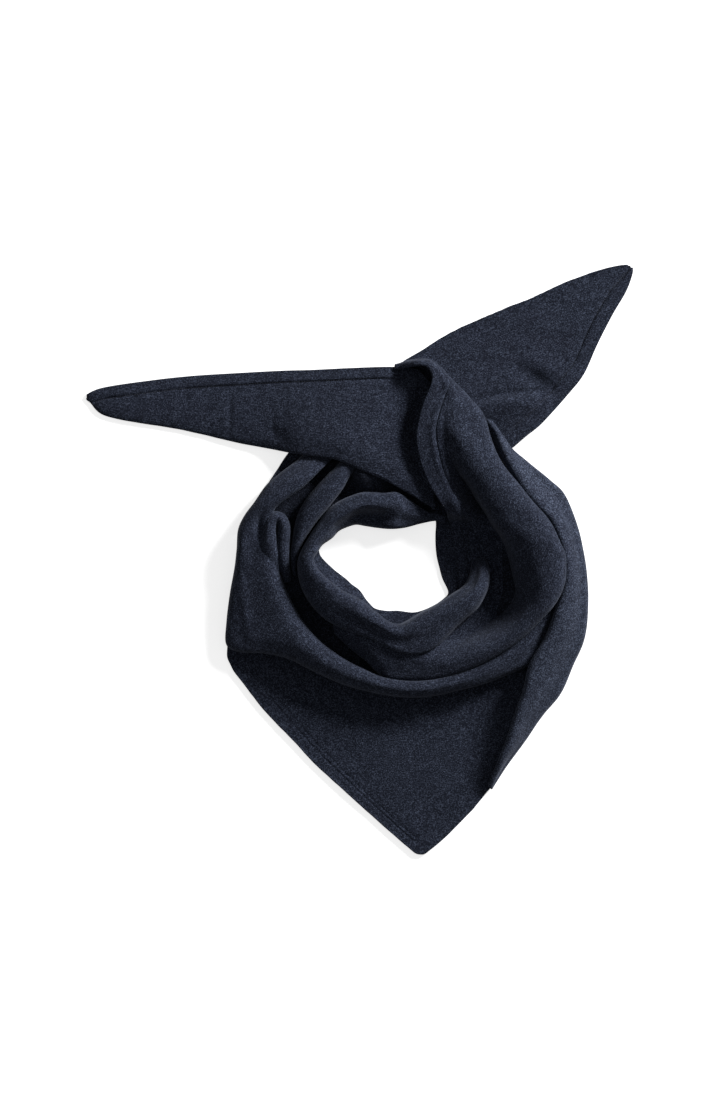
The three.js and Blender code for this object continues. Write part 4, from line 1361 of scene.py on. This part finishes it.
@dataclass
class FrontPanel(LaidCloth):
    """The point of the triangle, flat on the surface below the rolled front."""

    name: str = "front_panel"
    columns: str = "inX inY outX outY inZ midZ outZ"
    rows: Rows = (
        (-48, 104, -69, 119, 3, 3, 3),
        (-63, 94, -76, 113, 3, 3, 3),
        (-82, 63, -97, 80, 3, 3, 3),
        (-97, 37, -112, 42, 3, 3, 3),
        (-103, 7, -124, 7, 3, 3, 3),
        (-107, -17, -130, -17, 3, 3, 3),
        (-109, -46, -136, -54, 3, 3, 3),
        (-103, -71, -139.3, -85, 3, 3, 3),
        (-89, -84, -139.8, -103.5, 3, 3, 3),
        (-79, -90, -133.8, -116.8, 3, 3, 3),
        (-58, -109, -101.5, -157.6, 3, 3.2, 3),
        (-26, -122, -49.5, -212.8, 3, 3.6, 3),
        (2, -130, -1.5, -257, 3, 3.8, 3),
        (26, -135, 45.5, -298, 3, 3.8, 3),
        (39, -137, 59, -310, 3, 3.8, 3),
        (47, -137, 67.5, -310.6, 3, 3.8, 3),
        (68, -137, 87, -294.5, 3, 3.8, 3),
        (92, -132, 119, -262.5, 3, 3.6, 3),
        (112, -126, 139.3, -237.5, 3, 3.4, 3),
        (134, -118, 158, -211.5, 3, 3.2, 3),
        (150, -110, 175, -185, 3, 3.2, 3),
        (163, -105, 187, -158, 3, 3, 3),
        (178, -94, 204, -134, 3, 3, 3),
        (194, -73, 220, -102, 3, 3, 3),
        (208, -40, 230, -48, 3, 3, 3),
        (212, -14, 230, -14, 3, 3, 3),
        (206, 26, 220, 31, 3, 3, 3),
        (190, 52, 206, 64, 3, 3, 3),
    )
    inner: Edge = Edge(EdgeKind.BURIED)
    smooth: bool = False
    cell: float = 4.0
    rough_edges: bool = True
    unevenness: float = 0.3
    cut: Pair = (360.0, 395.0)
    cut_area: float = 0.0481
    seed: int = 20
    creases: Tuple[Crease, ...] = (
        Crease(((183, -128), (174, -155), (163, -183), (152, -208), (141, -230)),
               (9.0, 10.0, 9.0, 7.0, 3.0), 15.0),
    )


@dataclass
class UnderLayer(LaidCloth):
    """The layer that shows as a dark floor in the crevices round the left and the top; its finish is
    darkened, painted shade.
    """

    name: str = "under_layer"
    columns: str = "inAngle inR outR inZ wallF wallZ outZ"
    rows: Rows = (
        (14, 92, 122, 3, 0.6, 3.5, 4),
        (26, 88, 120, 3, 0.6, 3.5, 4),
        (36, 84, 116, 3, 0.6, 3.5, 4),
        (43, 78, 110, 3, 0.6, 3.5, 4),
        (50, 68, 104, 3, 0.6, 3.5, 4),
        (60, 62, 100, 3, 0.6, 3.5, 4),
        (80, 62, 100, 3, 0.6, 6, 10),
        (88, 64, 106, 3, 0.64, 17, 15),
        (96, 66, 112, 3, 0.62, 21, 16),
        (102, 68, 116, 3, 0.6, 20, 15),
        (108, 72, 120, 3, 0.6, 9, 7),
        (122, 78, 122, 3, 0.66, 3.5, 4),
        (134, 80, 120, 3, 0.55, 3.5, 4),
        (145, 80, 124, 3, 0.5, 3.5, 4),
        (152, 80, 128, 3, 0.45, 3.5, 4),
        (160, 80, 122, 3, 0.5, 3.5, 4),
        (170, 82, 118, 3, 0.5, 4, 5),
        (180, 82, 112, 3, 0.5, 4, 4),
        (200, 80, 108, 3, 0.5, 4, 4),
    )
    unevenness: float = 0.3
    cut: Pair = (54.0, 323.0)
    cut_area: float = 0.0122
    seed: int = 21


@dataclass
class HiddenLayers:
    """The cloth wound and folded out of sight, one soft ring."""

    name: str = "hidden_layers"
    sunk: float = 0.45
    merged: float = 0.00005
    fill: float = 0.35

    def build(self, finish: bpy.types.Material) -> bpy.types.Object:
        """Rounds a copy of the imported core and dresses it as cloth.

        Args:
            finish: the knit's material.

        Returns:
            The finished piece.
        """
        bpy.ops.object.select_all(action="DESELECT")
        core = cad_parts[self.name]
        piece = core.copy()
        piece.data = core.data.copy()
        for key in list(piece.keys()):
            del piece[key]
        piece.parent = None
        piece.name = self.name + "_cloth"
        bpy.context.collection.objects.link(piece)
        bpy.context.view_layer.objects.active = piece
        piece.select_set(True)
        bpy.ops.object.mode_set(mode="EDIT")
        bpy.ops.mesh.select_all(action="SELECT")
        bpy.ops.mesh.remove_doubles(threshold=self.merged)
        bpy.ops.transform.resize(value=(1.0, 1.0, self.sunk), center_override=(0.0, 0.0, 0.0))
        bpy.ops.object.mode_set(mode="OBJECT")
        round_off(piece)
        dress(piece, finish, self.name)
        log.info("%s: %d faces", piece.name, len(piece.data.polygons))
        return piece


@dataclass
class HemStitching:
    """A row of short stitches in the groove of a hem."""

    pitch: float = 2.6
    length: float = 1.7
    radius: float = 0.28
    segments: int = 6
    rings: int = 5
    raised: float = 0.35
    middle: float = 0.5
    ahead: float = 0.7

    def build(self, name: str, groove: np.ndarray, finish: bpy.types.Material) -> bpy.types.Object:
        """Models one stitch and copies it along the groove.

        Args:
            name: the piece's name.
            groove: points and normals of the groove, in millimetres.
            finish: the thread's material.

        Returns:
            The finished row of stitches.
        """
        bpy.ops.object.select_all(action="DESELECT")
        bpy.ops.mesh.primitive_uv_sphere_add(
            segments=self.segments, ring_count=self.rings, radius=1.0)
        stitch = bpy.context.active_object
        bpy.ops.object.shade_smooth()
        run = lengths_along(groove[:, None, :3])
        copies: List[bpy.types.Object] = []
        for k in range(int(run[-1] / self.pitch)):
            here, next_on = (k + self.middle) * self.pitch, (k + self.ahead) * self.pitch
            place = [np.interp(here, run, groove[:, c]) for c in range(6)]
            ahead = [np.interp(next_on, run, groove[:, c]) for c in range(3)]
            copy = stitch.copy()
            copy.data = stitch.data.copy()
            copy.data.transform(self.placing(np.array(place), np.array(ahead)))
            bpy.context.collection.objects.link(copy)
            copies.append(copy)
        bpy.data.objects.remove(stitch)
        bpy.ops.object.select_all(action="DESELECT")
        for copy in copies:
            copy.select_set(True)
        row = copies[0]
        bpy.context.view_layer.objects.active = row
        bpy.ops.object.join()
        row.name = name
        dress(row, finish)
        log.info("%s: %d stitches", name, len(copies))
        return row

    def placing(self, place: np.ndarray, ahead: np.ndarray) -> Matrix:
        """The matrix that lays one stitch in the groove.

        Args:
            place: point and normal.
            ahead: a point further on along the groove.

        Returns:
            A 4 by 4 matrix.
        """
        up = Vector(place[3:6]).normalized()
        way = (Vector(ahead) - Vector(place[:3])).normalized()
        side = up.cross(way).normalized()
        way = side.cross(up)
        sides = (side * self.radius, way * (0.5 * self.length), up * self.radius)
        turn = Matrix(sides).transposed()
        middle = (Vector(place[:3]) + Vector(SHIFT) + up * (self.raised * self.radius)) * MM
        return Matrix.Translation(middle) @ (turn * MM).to_4x4()


@dataclass
class Studio:
    """Plain floor, soft light from beyond the crossing, camera straight above."""

    floor_size: float = 8.0
    floor_below: float = 0.0002
    view_height: float = 4.41
    view_across: float = 1.176
    focus_plane: float = 0.015
    sensor: float = 36.0
    farthest: float = 20.0
    key_place: Tuple[float, float, float] = (2.6, 2.35, 1.42)
    key_power: float = 280.0
    key_size: float = 0.95
    fill_level: float = 0.24

    def build(self) -> None:
        """Lays the floor, hangs the lights and sets up the camera."""
        bpy.ops.object.select_all(action="DESELECT")
        place = (0.0, 0.0, -self.floor_below)
        bpy.ops.mesh.primitive_plane_add(size=self.floor_size, location=place)
        floor = bpy.context.active_object
        floor.name = "studio_floor"
        floor.data.materials.append(PaleFloor().material())
        floor.visible_diffuse = False
        self.light("key", Vector(self.key_place), self.key_power, self.key_size)
        world = bpy.data.worlds.new("studio")
        world.use_nodes = True
        background = world.node_tree.nodes["Background"]
        background.inputs["Color"].default_value = (1.0, 1.0, 1.0, 1.0)
        background.inputs["Strength"].default_value = self.fill_level
        bpy.context.scene.world = world
        bpy.context.scene.view_settings.view_transform = "Standard"
        lens = bpy.data.cameras.new("camera")
        lens.sensor_width = self.sensor
        lens.lens = self.view_height * self.sensor / self.view_across
        lens.clip_end = self.farthest
        camera = bpy.data.objects.new("camera", lens)
        camera.location = (SHIFT[0] * MM, SHIFT[1] * MM, self.view_height + self.focus_plane)
        bpy.context.collection.objects.link(camera)
        bpy.context.scene.camera = camera

    def light(self, name: str, place: Vector, power: float, size: float) -> None:
        """Hangs a square soft light that faces the scarf.

        Args:
            name: its name.
            place: where it hangs.
            power: its power in watts.
            size: the length of its side.
        """
        lamp = bpy.data.lights.new(name, "AREA")
        lamp.energy = power
        lamp.size = size
        holder = bpy.data.objects.new(name, lamp)
        holder.location = place
        holder.rotation_mode = "QUATERNION"
        holder.rotation_quaternion = (-place).to_track_quat("-Z", "Y")
        bpy.context.collection.objects.link(holder)


def main() -> None:
    """Builds the cloth, its sewing and the studio."""
    logging.basicConfig(level=logging.INFO, format="%(message)s")
    knit = FulledKnit().material()
    # the knit at half its colour: painted shade for the hidden ring, which shows only in deep crevices
    core_knit = FulledKnit(name="core_knit", with_wales=False, shade=0.5).material()
    # a lighter copy of the knit for the turned-over right flap: its lighter colours are painted light,
    # standing in for the strong light the flap catches
    flap_painted_light = FulledKnit(
        name="knit_reverse", pale=(0.098, 0.118, 0.172), body=(0.0225, 0.028, 0.047), sheen=0.14)
    others = {
        "right_flap": flap_painted_light.material(),
        # the under layer's knit at 0.62 of its colour: painted shade for the crevices it fills
        "under_layer": FulledKnit(name="low_knit", shade=0.62).material(),
    }
    thread = HemThread().material()
    stretches: List[Cloth] = [
        Collar(), NeckEdge(), NeckLining(), Band(), FrontFold(), SecondStrand(), HookFold(),
        LeftTail(), RightTail(), RightFlap(), FrontPanel(), UnderLayer(),
    ]
    for stretch in stretches:
        piece = stretch.build(others.get(stretch.name, knit))
        extras: List[bpy.types.Object] = []
        if stretch.groove is not None:
            extras.append(HemStitching().build(stretch.name + "_stitches", stretch.groove, thread))
        stretch.declare(piece, extras)
    # the hidden ring wears the darkened knit, painted shade
    HiddenLayers().build(core_knit)
    Studio().build()


if __name__ == "__main__":
    main()
